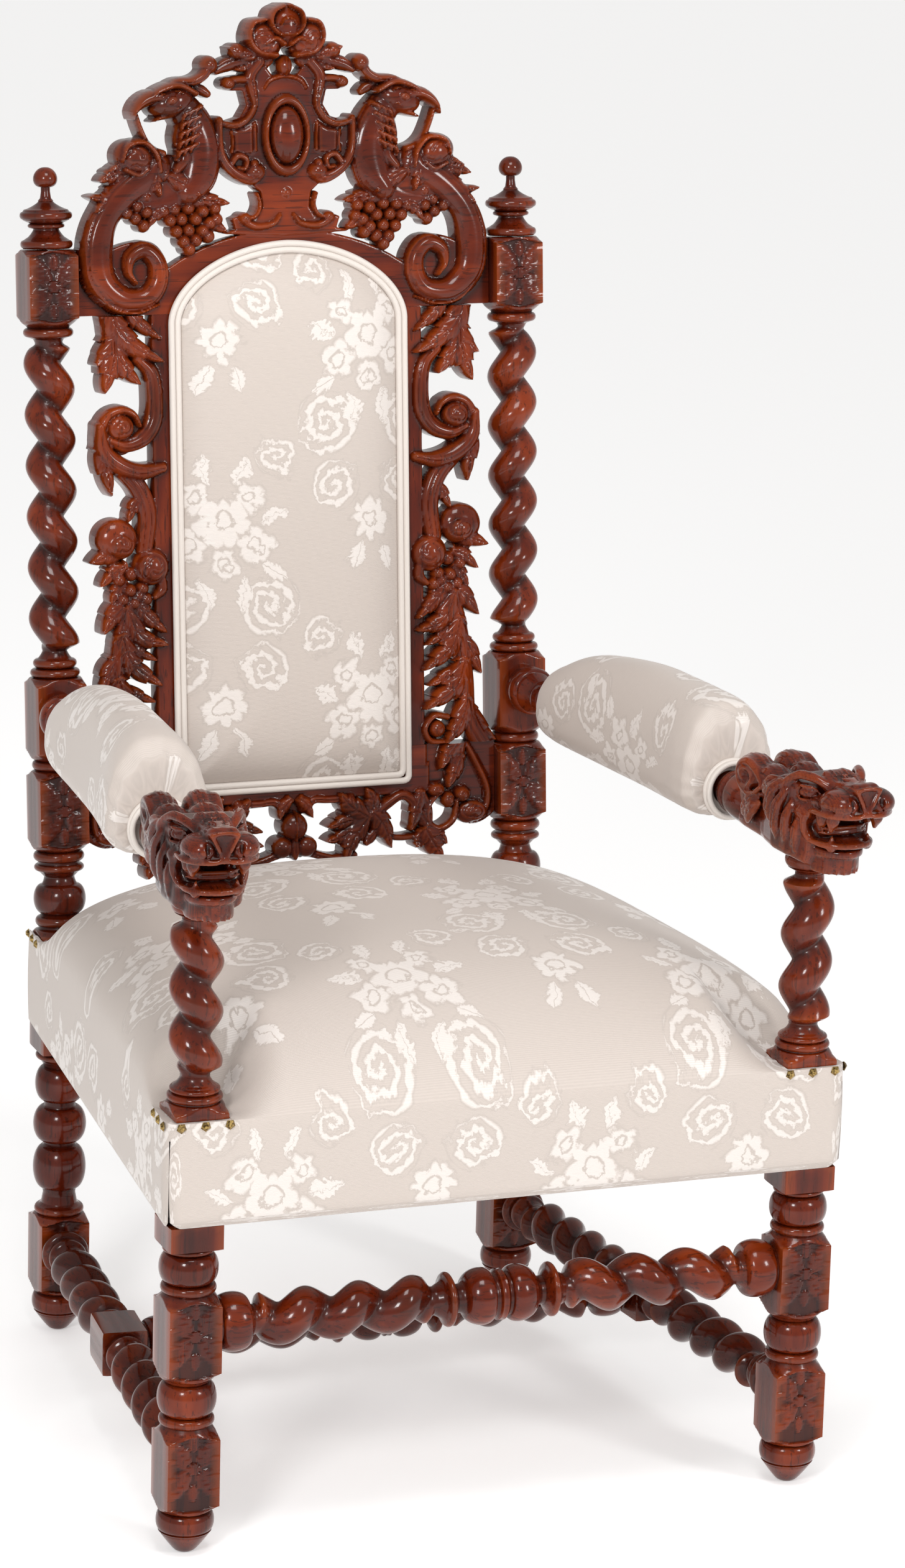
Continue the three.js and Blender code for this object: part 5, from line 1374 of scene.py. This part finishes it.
    rho = np.hypot(u / 27.5, v / 44.5)
    rimTop = 26 - 7 * np.clip(np.abs(rho - 0.86) / 0.14, 0, 1) ** 2
    domed = 14 + 18 * np.sqrt(np.clip(1 - (rho / 0.74) ** 2.4, 0, 1))
    height = np.where(rho > 0.74, rimTop, np.maximum(domed, 15.0))
    board["height"][part] = np.where(rho < 1, height, board["height"][part])
    board["inside"][part] = np.maximum(board["inside"][part], (1 - rho) * 27.5)
    # flower at the top
    acanthus(board, [(18, 1000), (20, 985), (40, 976), (58, 972)], 20, 3, top=19)
    ribbon(board, [(22, 986), (46, 983), (66, 978), (78, 972)], [12, 17, 16, 10], top=19, lines=(0.3,))
    acanthus(board, [(30, 985), (50, 990), (66, 997)], 20, 2, top=22)
    dome(board, (55, 992), 10, 9.5, top=25)
    bud(board, (25, 1004), 21, 24, angle=-0.6, top=32)
    ribbon(board, [(12, 988), (32, 992), (42, 1006), (38, 1022), (24, 1026)], [9, 9, 8, 8, 6], top=30)
    ribbon(board, [(4, 1000), (14, 1006), (26, 1000)], [8, 9, 6], top=34)
    dome(board, (0, 1019), 22, 25, top=34)
    ribbon(board, [(-6, 1012), (8, 1010), (18, 1020), (16, 1034), (4, 1041)], [6, 7, 7, 7, 6], top=35)
    ribbon(board, [(-4, 1029), (5, 1026), (9, 1020)], [4, 5, 3], top=37)
    dome(board, (0, 976), 9, 12, top=24)
    ribbon(board, [(0, 986), (0, 966)], [1.6, 1.6], top=25)
    limit(board, carving["joint"][0] + 0.15, 1060)
    return mirrorBoard(board)


shape = boardShell(carveCrest())
addPiece("carved_crest", shape[0], shape[1], oakLevel, ["crest"], shape[2])
print("crest: %d points" % len(shape[0]))


# The stiles.
def carveStile():
    board = newBoard(120, 243, 218, 716)
    inner = body["padHalf"] - 14
    panel(board, [(inner - 4, 214), (156, 214), (156, 720), (inner - 4, 720)], smooth=False)
    # two long leaves hanging from the crest
    acanthus(board, [(204, 720), (196, 696), (176, 676), (144, 660)], 33, 4, curl=4, top=24, deep=0.2)
    acanthus(board, [(184, 720), (170, 702), (146, 684)], 20, 3, curl=2, top=21, deep=0.2)
    ribbon(board, [(208, 720), (203, 695), (202, 672), (207, 652)], [18, 20, 18, 10], top=19, lines=(0.0,))
    acanthus(board, [(200, 690), (201, 664), (213, 627)], 38, 3, curl=3, top=22, deep=0.3)
    acanthus(board, [(202, 676), (212, 666), (222, 658)], 17, 1, curl=3, top=20, deep=0.1)
    acanthus(board, [(198, 672), (186, 652), (171, 636)], 24, 2, curl=3, top=22, deep=0.25)
    # C scroll and its round eye
    ribbon(board, [(172, 664), (158, 648), (154, 622), (156, 596), (168, 578), (188, 571), (206, 577)],
           [14, 18, 20, 21, 20, 17, 12], top=23, lines=(0.55, -0.45))
    panel(board, [(170, 590), (176, 608), (196, 613), (214, 602), (218, 586), (212, 566), (190, 560),
        (174, 572)], top=13)
    ribbon(board, [(210, 570), (215, 586), (207, 603), (191, 609), (178, 603), (172, 592)],
        [18, 16, 13, 11, 9, 6], top=22, lines=(0.45,))
    bud(board, (194, 590), 16, 15, top=29, petals=2)
    # S tongue
    ribbon(board, [(217, 592), (213, 566), (196, 549), (172, 541), (147, 545)], [12, 20, 22, 20, 12],
        top=25, lines=(0.1,))
    acanthus(board, [(216, 574), (211, 548), (206, 515)], 26, 2, curl=4, top=20, deep=0.25)
    ribbon(board, [(196, 548), (174, 524), (164, 494), (168, 456)], [20, 22, 22, 20], top=20,
        lines=(0.3, -0.3))
    acanthus(board, [(172, 516), (180, 502), (188, 486)], 18, 2, curl=2, top=18)
    # fruit
    acanthus(board, [(190, 460), (210, 452), (232, 444)], 25, 2, curl=2, top=20, deep=0.15)
    acanthus(board, [(188, 440), (204, 432), (220, 417)], 22, 2, curl=1, top=19)
    acanthus(board, [(190, 424), (200, 412), (208, 398)], 20, 2, curl=1, top=18)
    dome(board, (200, 468), 24, 23, top=25)
    bud(board, (197, 463), 18, 16, angle=0.3, top=31, petals=2)
    bud(board, (162, 437), 20.5, 21, angle=2.4, top=31, petals=3)
    ribbon(board, [(150, 424), (150, 412), (158, 404)], [12, 14, 8], top=22)
    berries(board, [(184, 430), (172, 414), (186, 412), (198, 424), (168, 402), (182, 398), (176, 406),
        (194, 402)], 8.2)
    # drooping husks
    acanthus(board, [(188, 400), (204, 386), (219, 365)], 26, 2, curl=3, top=21, deep=0.15)
    acanthus(board, [(182, 402), (168, 384), (145, 364)], 24, 3, curl=3, top=21, deep=0.2)
    acanthus(board, [(192, 396), (176, 362), (144, 351)], 27, 3, curl=4, top=23, deep=0.2)
    ribbon(board, [(184, 402), (194, 366), (201, 330), (205, 290), (208, 250), (226, 216)],
        [14, 22, 20, 20, 20, 24], top=21, lines=(0.35, -0.35))
    acanthus(board, [(197, 366), (186, 332), (152, 306)], 32, 4, curl=4, top=23, deep=0.3)
    acanthus(board, [(190, 356), (176, 344), (156, 334)], 18, 2, curl=2, top=19, deep=0.3)
    acanthus(board, [(203, 318), (190, 286), (152, 262)], 32, 4, curl=4, top=23, deep=0.3)
    acanthus(board, [(196, 308), (178, 296), (158, 288)], 17, 2, curl=2, top=18, deep=0.3)
    acanthus(board, [(203, 340), (212, 322), (222, 298)], 22, 2, curl=2, top=20, deep=0.2)
    acanthus(board, [(206, 276), (196, 244), (178, 222)], 26, 3, curl=3, top=22, deep=0.25)
    acanthus(board, [(212, 262), (224, 238), (240, 222)], 18, 2, curl=1, top=18, deep=0.2)
    ribbon(board, [(182, 252), (166, 254), (155, 240), (162, 226), (178, 224)], [8, 8, 8, 8, 6], top=20)
    dome(board, (170, 239), 10, 10, top=23)
    limit(board, carving["joint"][1] + 0.15, carving["joint"][0] - 0.15)
    return board


rightStile = carveStile()
for word, board in (("right", rightStile), ("left", flipBoard(rightStile))):
    shape = boardShell(board)
    addPiece("carved_stile_" + word, shape[0], shape[1], oakUpright, ["stile_" + word],
        shape[2])
print("stiles: %d points each" % len(shape[0]))


# The bottom rail.
def carveRail():
    board = newBoard(0, 243, 78, 226)
    low = body["padBottom"] - 12
    panel(board, [(-8, low), (160, low), (160, 200), (-8, 200)], smooth=False)
    panel(board, [(120, low), (157, low), (157, 230), (120, 230)], smooth=False)
    panel(board, [(150, 228), (243, 228), (243, 200), (243, 150), (232, 134), (212, 128), (192, 140),
        (178, 160), (150, 176)], top=9)
    ribbon(board, [(200, 228), (216, 200), (230, 168), (226, 144), (206, 134), (192, 142)],
        [6, 7, 7, 8, 9, 8], top=16)
    bud(board, (211, 143), 18, 12, top=22, petals=2)
    ribbon(board, [(196, 230), (192, 206), (184, 178)], [22, 20, 8], top=20, lines=(0.2,))
    acanthus(board, [(200, 230), (184, 212), (172, 194)], 22, 2, top=21, deep=0.2)
    acanthus(board, [(198, 210), (190, 190), (180, 172)], 20, 2, top=21, deep=0.2)
    for centre, ru, rv in (((168, 170), 10.5, 8), ((182, 158), 8.5, 9.5), ((199, 163), 9.5, 8.5)):
        bud(board, centre, ru, rv, top=23, petals=1)
    # looped stem and its leaves
    ribbon(board, [(150, 168), (158, 150), (160, 132)], [12, 12, 8], top=19, lines=(0.0,))
    ribbon(board, [(192, 156), (188, 136), (172, 126), (158, 134), (158, 152), (168, 164)],
        [7, 9, 9, 9, 9, 6], top=20, lines=(0.3,))
    acanthus(board, [(150, 172), (144, 150), (136, 126)], 20, 2, top=20, deep=0.2)
    acanthus(board, [(146, 152), (156, 134), (172, 122)], 18, 2, top=19, deep=0.2)
    acanthus(board, [(152, 130), (162, 112), (174, 92)], 32, 3, top=22, deep=0.3)
    acanthus(board, [(150, 126), (146, 114), (142, 106)], 18, 2, top=19, deep=0.2)
    acanthus(board, [(160, 124), (172, 118), (180, 108)], 18, 2, top=19, deep=0.2)
    ribbon(board, [(150, 120), (128, 118), (104, 122)], [8, 7, 8], top=16)
    ribbon(board, [(94, 146), (110, 158), (127, 167), (141, 158), (144, 142), (138, 130)],
        [12, 13, 12, 13, 13, 10], top=20, lines=(-0.3,))
    acanthus(board, [(90, 152), (104, 134), (112, 108)], 28, 3, top=22, deep=0.25)
    acanthus(board, [(96, 128), (88, 120), (82, 112)], 16, 1, top=18, deep=0.1)
    acanthus(board, [(90, 148), (92, 164), (84, 178)], 22, 2, top=20, deep=0.2)
    acanthus(board, [(88, 144), (66, 158), (52, 174)], 28, 3, top=22, deep=0.2)
    acanthus(board, [(86, 146), (62, 142), (37, 136)], 22, 3, top=20, deep=0.3)
    acanthus(board, [(88, 148), (68, 122), (58, 98)], 28, 3, top=22, deep=0.3)
    acanthus(board, [(74, 134), (54, 124), (36, 120)], 18, 2, top=18, deep=0.3)
    ribbon(board, [(70, 102), (46, 100), (22, 107), (8, 110)], [10, 9, 9, 10], top=16, lines=(0.1,))
    ribbon(board, [(66, 168), (42, 167), (24, 168), (12, 160)], [12, 9, 10, 14], top=18, lines=(0.1,))
    # centre: a knop between balls
    panel(board, [(-8, 104), (9, 104), (9, 172), (-8, 172)], top=11, smooth=False)
    acanthus(board, [(4, 172), (14, 162), (20, 148)], 17, 2, top=22, deep=0.15)
    dome(board, (0, 139), 16, 16, top=25)
    ribbon(board, [(0, 156), (0, 124)], [2, 2], top=26)
    dome(board, (14, 116), 13, 12, top=23)
    ribbon(board, [(0, 126), (2, 112), (0, 104)], [8, 9, 6], top=20)
    limit(board, 60, carving["joint"][1] - 0.15)
    return mirrorBoard(board)


shape = boardShell(carveRail())
addPiece("carved_rail", shape[0], shape[1], oakLevel, ["back_rail"], shape[2])
print("rail: %d points" % len(shape[0]))

# Lions of the arms.
# A lion is a field: its value is the distance to the wood, below nought inside. It is worked out for one half
# (s from nought outwards) and mirrored, then its nought level is joined up cell by cell.
lion = {"step": 1.8, "t": (-118.0, 122.0), "s": 54.0, "z": (664.0, 780.0)}
lionT = np.arange(lion["t"][0], lion["t"][1], lion["step"])[:, None, None]
lionS = np.arange(0, lion["s"], lion["step"])[None, :, None]
lionZ = np.arange(lion["z"][0], lion["z"][1], lion["step"])[None, None, :]


def joined(a, b, soft):
    # Union of two fields; the crease between them is filled over the width soft.
    h = np.clip(soft - np.abs(a - b), 0, None) / soft
    return np.minimum(a, b) - h * h * soft / 4


def common(a, b, soft):
    return -joined(-a, -b, soft)


def sheetDistance(u, v, corners):
    # Signed distance in a plane to a polygon: the nearest side, counted below nought where the winding
    # is odd.
    corners = np.array(corners, float)
    best, odd = np.full(np.broadcast(u, v).shape, 1e9), np.zeros(np.broadcast(u, v).shape, bool)
    for (u0, v0), (u1, v1) in zip(corners, np.roll(corners, -1, 0)):
        du, dv = u1 - u0, v1 - v0
        t = np.clip(((u - u0) * du + (v - v0) * dv) / (du * du + dv * dv), 0, 1)
        best = np.minimum(best, np.hypot(u - u0 - t * du, v - v0 - t * dv))
        crosses = (v0 > v) != (v1 > v)
        odd ^= crosses & (u < u0 + (v - v0) * du / (dv if abs(dv) > 1e-9 else 1e-9))
    return np.where(odd, -best, best)


def part(field, low, high, shape, soft, carve=False):
    # Joins shape(t, s, z) to the field, or carves it away, inside the box from low to high only.
    cut = tuple(slice(max(int((a - start) / lion["step"]) - 1, 0), int((b - start) / lion["step"]) + 2)
                for a, b, start in zip(low, high, (lion["t"][0], 0.0, lion["z"][0])))
    shaped = shape(lionT[cut[0]], lionS[:, cut[1]], lionZ[:, :, cut[2]])
    field[cut] = common(field[cut], -shaped, soft) if carve else joined(field[cut], shaped, soft)


def egg(field, centre, radii, soft=4, turn=0.0, tip=0.0, carve=False, lines=None):
    # An ellipsoid turned by turn in the t-z plane and by tip in the t-s plane (degrees). lines =
    # (places across s, half-width, depth) scores it from front to back.
    (ct, cs, cz), (rt, rs, rz) = centre, radii
    turn, tip = np.radians(turn), np.radians(tip)
    cu, su, cv, sv = np.cos(turn), np.sin(turn), np.cos(tip), np.sin(tip)
    def shape(t, s, z):
        a, b, c = t - ct, s - cs, z - cz
        a, c = a * cu + c * su, c * cu - a * su
        a, b = a * cv + b * sv, b * cv - a * sv
        k = np.sqrt((a / rt) ** 2 + (b / rs) ** 2 + (c / rz) ** 2)
        g = np.sqrt((a / rt**2) ** 2 + (b / rs**2) ** 2 + (c / rz**2) ** 2)
        d = k * (k - 1) / np.maximum(g, 1e-6)
        if lines:
            for place in lines[0]:
                d = d + lines[2] * np.exp(-((s - place) / lines[1]) ** 2)
        return d
    far = max(radii) + soft + 3
    part(field, (ct - far, max(cs - far, 0), cz - far), (ct + far, cs + far, cz + far), shape, soft, carve)


def strand(field, path, widths, soft=2.0, flat=1.0, carve=False):
    # A tube through the points of path, its radius following widths. flat above 1 makes it thinner
    # along s.
    path = np.array(path, float)
    widths = np.interp(np.linspace(0, 1, len(path)), np.linspace(0, 1, len(widths)), widths)
    for p, q, r0, r1 in zip(path, path[1:], widths, widths[1:]):
        scale = np.array([1, flat, 1])
        span = (q - p) * scale
        def shape(t, s, z):
            a, b, c = t - p[0], (s - p[1]) * flat, z - p[2]
            h = np.clip((a * span[0] + b * span[1] + c * span[2]) / (span @ span), 0, 1)
            d = np.sqrt((a - h * span[0]) ** 2 + (b - h * span[1]) ** 2 + (c - h * span[2]) ** 2) - (r0
                + (r1 - r0) * h)
            return d / flat**0.5
        far = max(r0, r1) + soft + 3
        low, high = np.minimum(p, q) - far, np.maximum(p, q) + far
        part(field, (low[0], max(low[1], 0), low[2]), high, shape, soft, carve)


def curved(points, steps=5):
    # Points along a smooth line through the given ones.
    points = np.array(points, float)
    at = np.arange(len(points))
    fine = np.linspace(0, len(points) - 1, (len(points) - 1) * steps + 1)
    return np.stack([smoothThrough(fine, at, points[:, k]) for k in range(points.shape[1])], -1)


def lionField():
    side = [(-118, 681), (20, 681), (44, 678), (52, 690), (52, 735), (62, 739), (100, 741), (108, 746),
        (104, 750),
            (70, 746), (52, 752), (42, 762), (0, 763), (-30, 752), (-100, 742), (-118, 728)]
    plan = [(-118, 0), (-118, 22), (-100, 25), (-54, 29), (-40, 33), (-14, 39), (14, 40), (40, 35),
        (62, 30), (100, 30),
            (110, 20), (110, 0), (110, -30), (-118, -30)]
    field = common(sheetDistance(lionT, lionZ, side), sheetDistance(lionT, lionS, plan), 9.0)
    # the two rolls of mane on top, scored from front to back, each with the eye of its scroll hollowed
    # at the side
    egg(field, (-80, 20.5, 746), (27, 18.5, 19), 4, lines=((8.5, 15, 20.5, 26), 1.3, 1.7))
    egg(field, (-47, 18, 747), (20, 17, 14), 6, lines=((8.5, 15, 20.5, 26), 1.3, 1.5))
    egg(field, (-78, 41, 742), (10, 9, 8), 2.5, carve=True)
    strand(field, curved([(-44, 33, 738), (-58, 34, 752), (-76, 34, 758), (-92, 33, 752), (-98, 32, 740),
        (-89, 33, 730),
                          (-76, 34, 730), (-69, 34, 738)]), (3, 3.6, 3.6, 3.0, 2.2), 2.5)
    strand(field, curved([(-99, 30, 733), (-84, 33, 726), (-62, 36, 727), (-44, 38, 738)]), (2, 3.5, 3, 2), 2)
    # locks on the side of the block and the leaves that fan out behind the cheek
    for path, widths in (([(-50, 33, 730), (-66, 34, 723), (-84, 31, 709), (-93, 28, 698)],
        (3, 6.5, 6.5, 2.5)),
                         ([(-48, 35, 721), (-60, 35, 714), (-72, 33, 703), (-78, 31, 694)], (3, 7, 6.5, 2.5)),
                         ([(-2, 40, 757), (-16, 41, 752), (-30, 38, 742), (-36, 36, 734)], (4, 6.5, 6, 2.5)),
                         ([(8, 41, 758), (-6, 44, 745), (-16, 42, 726), (-20, 38, 711)], (4, 7.5, 7.5, 2.5)),
                         ([(16, 41, 750), (6, 45, 732), (0, 43, 712), (-4, 38, 696)], (4, 7.5, 7.5, 2.5)),
                         ([(24, 39, 738), (20, 42, 722), (16, 40, 706), (12, 36, 692)], (4, 7, 6.5, 2.5)),
                         ([(36, 36, 726), (33, 38, 712), (30, 36, 698), (25, 32, 686)], (3.5, 6.5, 6, 2.5))):
        strand(field, curved(path, 4), widths, 1.6, 1.5)
        strand(field, curved([(t, s + widths[1] / 1.5 * 0.97, z) for t, s, z in path], 4), (0.9, 1.2, 1.2,
            0.5), 0.6, carve=True)
    # brows in three strands round the eye
    for spread, rise, size in ((1.0, 1.5, 3.4), (1.42, 3.0, 3.3), (1.85, 2.6, 3.2)):
        arch = [(16, 39, 738), (15, 40, 752), (22, 37, 763), (34, 32, 768.5), (47, 25, 767),
            (56, 17, 760), (60, 14, 752)]
        arch = [(30 + (t - 30) * (0.62 + 0.38 * spread), min(26 + (s - 26) * (0.55 + 0.30 * spread), 41),
            z + rise - 2.2 * (spread - 1)) for t, s, z in arch]
        strand(field, curved(arch), (2.2, size, size, size * 1.1, size, 2.0), 1.8)
    egg(field, (43, 32, 753), (13, 10, 9.5), 1.5, 8, -34, carve=True)
    egg(field, (41, 27.5, 753.5), (11, 8.2, 6.6), 1.0, 8, -34)
    strand(field, curved([(29, 36, 752), (38, 36, 760), (49, 29, 760), (55, 21, 752)]), (1.2, 1.7, 1.7,
        1.2), 0.8)
    strand(field, curved([(29, 36, 752), (38, 36.5, 746.5), (49, 30, 747), (55, 21, 752)]),
        (1.2, 1.7, 1.7, 1.2), 0.8)
    egg(field, (45.5, 33.6, 754), (3.6, 2.6, 3.6), 0.5, carve=True)
    egg(field, (44.6, 32.4, 754), (2.2, 2.2, 2.2), 0.4)
    # cheek, muzzle and nose
    egg(field, (40, 30, 733), (15, 11, 9), 3)
    egg(field, (87, 20, 751.5), (26, 18.5, 14.5), 3.0, 4, 4)
    egg(field, (64, 22, 743), (18, 12, 10), 4)
    strand(field, curved([(46, 9, 768), (66, 8, 763), (84, 8, 763), (104, 9, 768.5)]), (8, 7, 6, 5.5), 5)
    strand(field, curved([(46, 0, 768), (66, 0, 764), (84, 0, 764), (105, 0, 769)]), (8, 7, 6, 5), 5)
    for place in (0, 4.8, 9.6, 14.4):
        strand(field, curved([(30, place * 1.05, 775.5), (48, place, 776), (62, place * 0.9, 771.5),
            (78, place * 0.75, 769.5)]), (0.8, 2.0, 1.8, 0.8), 0.8, carve=True)
    nose = lambda t, s, z: np.maximum(np.maximum(np.abs(t - 98) - 11.5, s - np.clip((z - 739.5) * 0.46, 0,
        14)), z - 770) + 0 * s
    part(field, (82, 0, 736), (114, 18, 776), nose, 2.0)
    strand(field, [(109.5, 0.8, 742), (111, 6.8, 756), (110.5, 13, 768.5)], (2.0, 2.2, 2.4), 0.8)
    strand(field, [(110.5, 13, 768.5), (111, 7, 770.5), (111, 0, 770.8)], (2.4, 2.2, 2.2), 0.8)
    strand(field, [(110.5, 13, 768.5), (98, 13.5, 767.5), (88, 13, 764)], (2.3, 2.0, 1.0), 1)
    egg(field, (111.5, 16.5, 757), (5, 2.6, 8), 1.5, -12, carve=True)
    strand(field, curved([(50, 33, 730), (60, 36, 739), (76, 37.5, 741), (94, 34.5, 741.5),
        (106, 22, 741.5), (110, 8, 742), (109, 0, 744)]),
           (2.2, 2.8, 2.8, 2.6, 2.0), 1.2)
    strand(field, curved([(60, 38.5, 746), (76, 40, 747.5), (95, 36, 747.5), (107, 23, 747.5),
        (112, 11, 747)]), (0.9, 1.6, 1.6, 0.9), 0.8, carve=True)
    # mouth: jaws open at the front and sides, a hollow throat, teeth and tongue
    gape = lambda t, s, z: sheetDistance(t, z, [(46, 719), (58, 736.5), (140, 738), (140, 704),
        (84, 709.5), (52, 711)]) + 0 * s
    part(field, (40, 0, 700), (122, 54, 742), gape, 1.6, True)
    egg(field, (50, 0, 722), (17, 26, 22), 2)
    egg(field, (66, 0, 727), (16, 14, 8.5), 1.5, carve=True)
    for height in (715.5, 720.5):
        strand(field, curved([(60, 26, height + 1), (66, 16, height), (68, 0, height)]), (1.5, 2.4, 2.4), 1)
    egg(field, (70, 0, 708.5), (17, 17, 3.6), 2)
    strand(field, [(86, 24, 741), (85, 25, 733), (82, 25, 724)], (8, 6.5, 3.0), 1.5)
    strand(field, [(66, 26, 739), (65, 26, 728)], (8, 5.5), 1.5)
    strand(field, [(76, 20, 704), (77, 20.5, 715.5)], (5.5, 1.2), 1)
    strand(field, curved([(52, 33, 736), (46, 35, 728), (45, 34.5, 718), (50, 32, 708)]), (3, 4, 4, 3), 2)
    # lower jaw in ledges and a bearded chin
    jaw = lambda far, half, low, high: (lambda t, s,
        z: common(common(np.sqrt(((t - 44) / (far - 44)) ** 2 * (t > 44) + (s / half) ** 2) * half - half,
                                                                     np.maximum(low - z, z - high), 3.0),
                                                                     20 - t, 2.0))
    part(field, (16, 0, 696), (100, 54, 716), jaw(88, 29.5, 702.5, 708.5), 1.0)
    part(field, (16, 0, 686), (100, 54, 706), jaw(82, 27.5, 690.5, 699.5), 1.5)
    part(field, (16, 0, 666), (100, 54, 700), jaw(77, 24.5, 672, 699), 2.0)
    strand(field, curved([(50, 31, 706), (70, 27, 706), (83, 16, 706), (88, 0, 706)]), (2.5, 3.2, 3.2,
        3.2), 1.2)
    for place in (0, 7, 14, 20.5):
        strand(field, curved([(80 - place * 0.35, place, 691), (82 - place * 0.5, place + 1.5, 683),
            (76 - place * 0.55, place * 0.9, 671)]), (1.0, 2.4, 2.6), 0.8, carve=True)
    for t, z in ((20, 690), (32, 692), (26, 700)):
        egg(field, (t, 33, z), (5.5, 6, 4.5), 1, -30)
    return np.maximum(field, lionZ * -1 + 679.2 + 20 * smoothStep(lionT, 38, 46) * -1)


def blurred(field, cells):
    for axis in range(3):
        padded = np.pad(field, [(cells + 1, cells) if k == axis else (0, 0) for k in range(3)], "edge")
        total = np.cumsum(padded, axis)
        wide = 2 * cells + 1
        field = (np.take(total, np.arange(wide, total.shape[axis]), axis)
                 - np.take(total, np.arange(0, total.shape[axis] - wide), axis)) / wide
    return field


def levelSurface(field, spacing, origin):
    # One point in every cell that the nought level crosses, at the mean of the crossings on its edges,
    # and one four-cornered face across every grid edge whose ends differ in sign.
    inside = field < 0
    cells = tuple(n - 1 for n in field.shape)
    total, count = np.zeros(cells + (3,)), np.zeros(cells)
    quads = []
    for axis in range(3):
        head = [slice(None)] * 3
        head[axis] = slice(None, -1)
        tail = [slice(None)] * 3
        tail[axis] = slice(1, None)
        a, b = field[tuple(head)], field[tuple(tail)]
        crossing = inside[tuple(head)] != inside[tuple(tail)]
        share = np.where(crossing, a / np.where(crossing, a - b, 1), 0)
        others = [k for k in range(3) if k != axis]
        for i in (0, 1):
            for j in (0, 1):
                take = [slice(None)] * 3
                take[others[0]] = slice(i, cells[others[0]] + i)
                take[others[1]] = slice(j, cells[others[1]] + j)
                here = crossing[tuple(take)]
                total[..., axis] += np.where(here, share[tuple(take)], 0)
                total[..., others[0]] += here * i
                total[..., others[1]] += here * j
                count += here
        spot = np.argwhere(crossing)
        spot = spot[np.all([(spot[:, k] > 0) & (spot[:, k] < field.shape[k] - 1) for k in others], axis=0)]
        corners = []
        for i, j in ((-1, -1), (0, -1), (0, 0), (-1, 0)):
            cell = spot.copy()
            cell[:, others[0]] += i
            cell[:, others[1]] += j
            corners.append(np.ravel_multi_index(cell.T, cells))
        quad = np.stack(corners, -1)
        turned = inside[tuple(spot.T)] == (axis != 1)
        quads.append(np.where(turned[:, None], quad, quad[:, ::-1]))
    quads = np.concatenate(quads)
    used = np.flatnonzero(count)
    number = np.full(count.size, -1)
    number[used] = np.arange(len(used))
    where = np.stack(np.unravel_index(used, cells), -1)
    points = (where + total.reshape(-1, 3)[used] / count.ravel()[used, None]) * spacing + np.array(origin)
    return points, number[quads], where


half = lionField()
whole = np.concatenate([half[:, :0:-1], half], axis=1)
clipped = np.clip(whole, -4, 4)
broad = blurred(clipped, 3)
points, faces, where = levelSurface(whole, lion["step"], (lion["t"][0], -lion["step"] * (half.shape[1]
    - 1), lion["z"][0]))
edges = np.concatenate([faces[:, [0, 1]], faces[:, [1, 2]], faces[:, [2, 3]], faces[:, [3, 0]]])
for _ in range(2):
    total = np.stack([np.bincount(edges.ravel(), points[edges[:, ::-1].ravel(), k],
        len(points)) for k in range(3)], -1)
    points = points * 0.6 + 0.4 * total / np.bincount(edges.ravel(), minlength=len(points))[:, None]
hollow = broad[tuple(where.T)]
# painted shade where the blurred field shows the surface sunk among solid wood; wear where it stands out
spots = {"painted_recess_shade": np.clip(-hollow / 1.3 - 0.12, 0, 1), "wear": np.clip(hollow / 1.2 - 0.45, 0, 1)}
print("lion: %d points, %d faces" % (len(points), len(faces)))
for side, word in ((-1, "left"), (1, "right")):
    placed = armPlace(side, -points[:, 0], points[:, 1], points[:, 2])
    addPiece("carved_lion_" + word, placed, [faces], oakArm, ["arm_" + word], spots, crisp=70)
armReach = np.hypot(supportHalf - backHalf, depth + 28) - (body["blockHalf"] + body["gap"]) / np.cos(armAngle)
rodKeys = [(103, 18)] + ringKeys(104, 150, 22.5, 26.6) + [(151, 21), (152, 22.5), (158, 23.5), (163, 22),
    (166, 17), (armReach - 96, 17),
    (armReach - 78, 16), (armReach - 72, 19)] + ringKeys(armReach - 70, armReach - 48, 18,
    21) + [(armReach - 42, 16, -1)] \
    + [(armReach - 26, 23)] + ringKeys(armReach - 25, armReach - 6, 23, 27) + [(armReach - 4, 23),
    (armReach, 22.5)]


def alongArm(side):
    def place(x, y, z):
        slant = y * np.tan(body["rake"]) - x * np.tan(armAngle)
        return armPlace(side, np.where(z > armReach - 5, z + slant, z), x, body["armHeight"] + y)
    return place


for side, word in ((-1, "left"), (1, "right")):
    made = turning(rodKeys, alongArm(side))
    addPiece("turned_arm_" + word, made[0], made[1], oakArm, ["arm_" + word], made[2])
print("lions and arms")

# Brass and sawn oak.
brass = bpy.data.materials.new("aged brass")
brass.use_nodes = True
brassTree = brass.node_tree
brassShader = brassTree.nodes["Principled BSDF"]
brassShader.inputs["Metallic"].default_value = 1.0
brassPlace = addNode(brassTree, "ShaderNodeTexCoord").outputs["Object"]
brassSpots = noiseField(brassTree, brassPlace, (1, 1, 1), 420.0, 3)
brassTree.links.new(rampOf(brassTree, brassSpots, [(0.35, (0.07, 0.04, 0.015)), (0.65, (0.52, 0.36, 0.13))]),
                    brassShader.inputs["Base Color"])
brassTree.links.new(mathNode(brassTree, "MULTIPLY_ADD", brassSpots, 0.3, 0.15),
    brassShader.inputs["Roughness"])
sawn = oakFinish("sawn oak", "x", 2.6, 0.3)

# Frame parts that stay as they are.
for name, node in nodes.items():
    if not node.hide_render:
        node.data.materials.clear()
        keep = brass if name.startswith("nail") else (sawn if name.startswith("seat_rail") else oakUpright)
        node.data.materials.append(keep)

print("done")
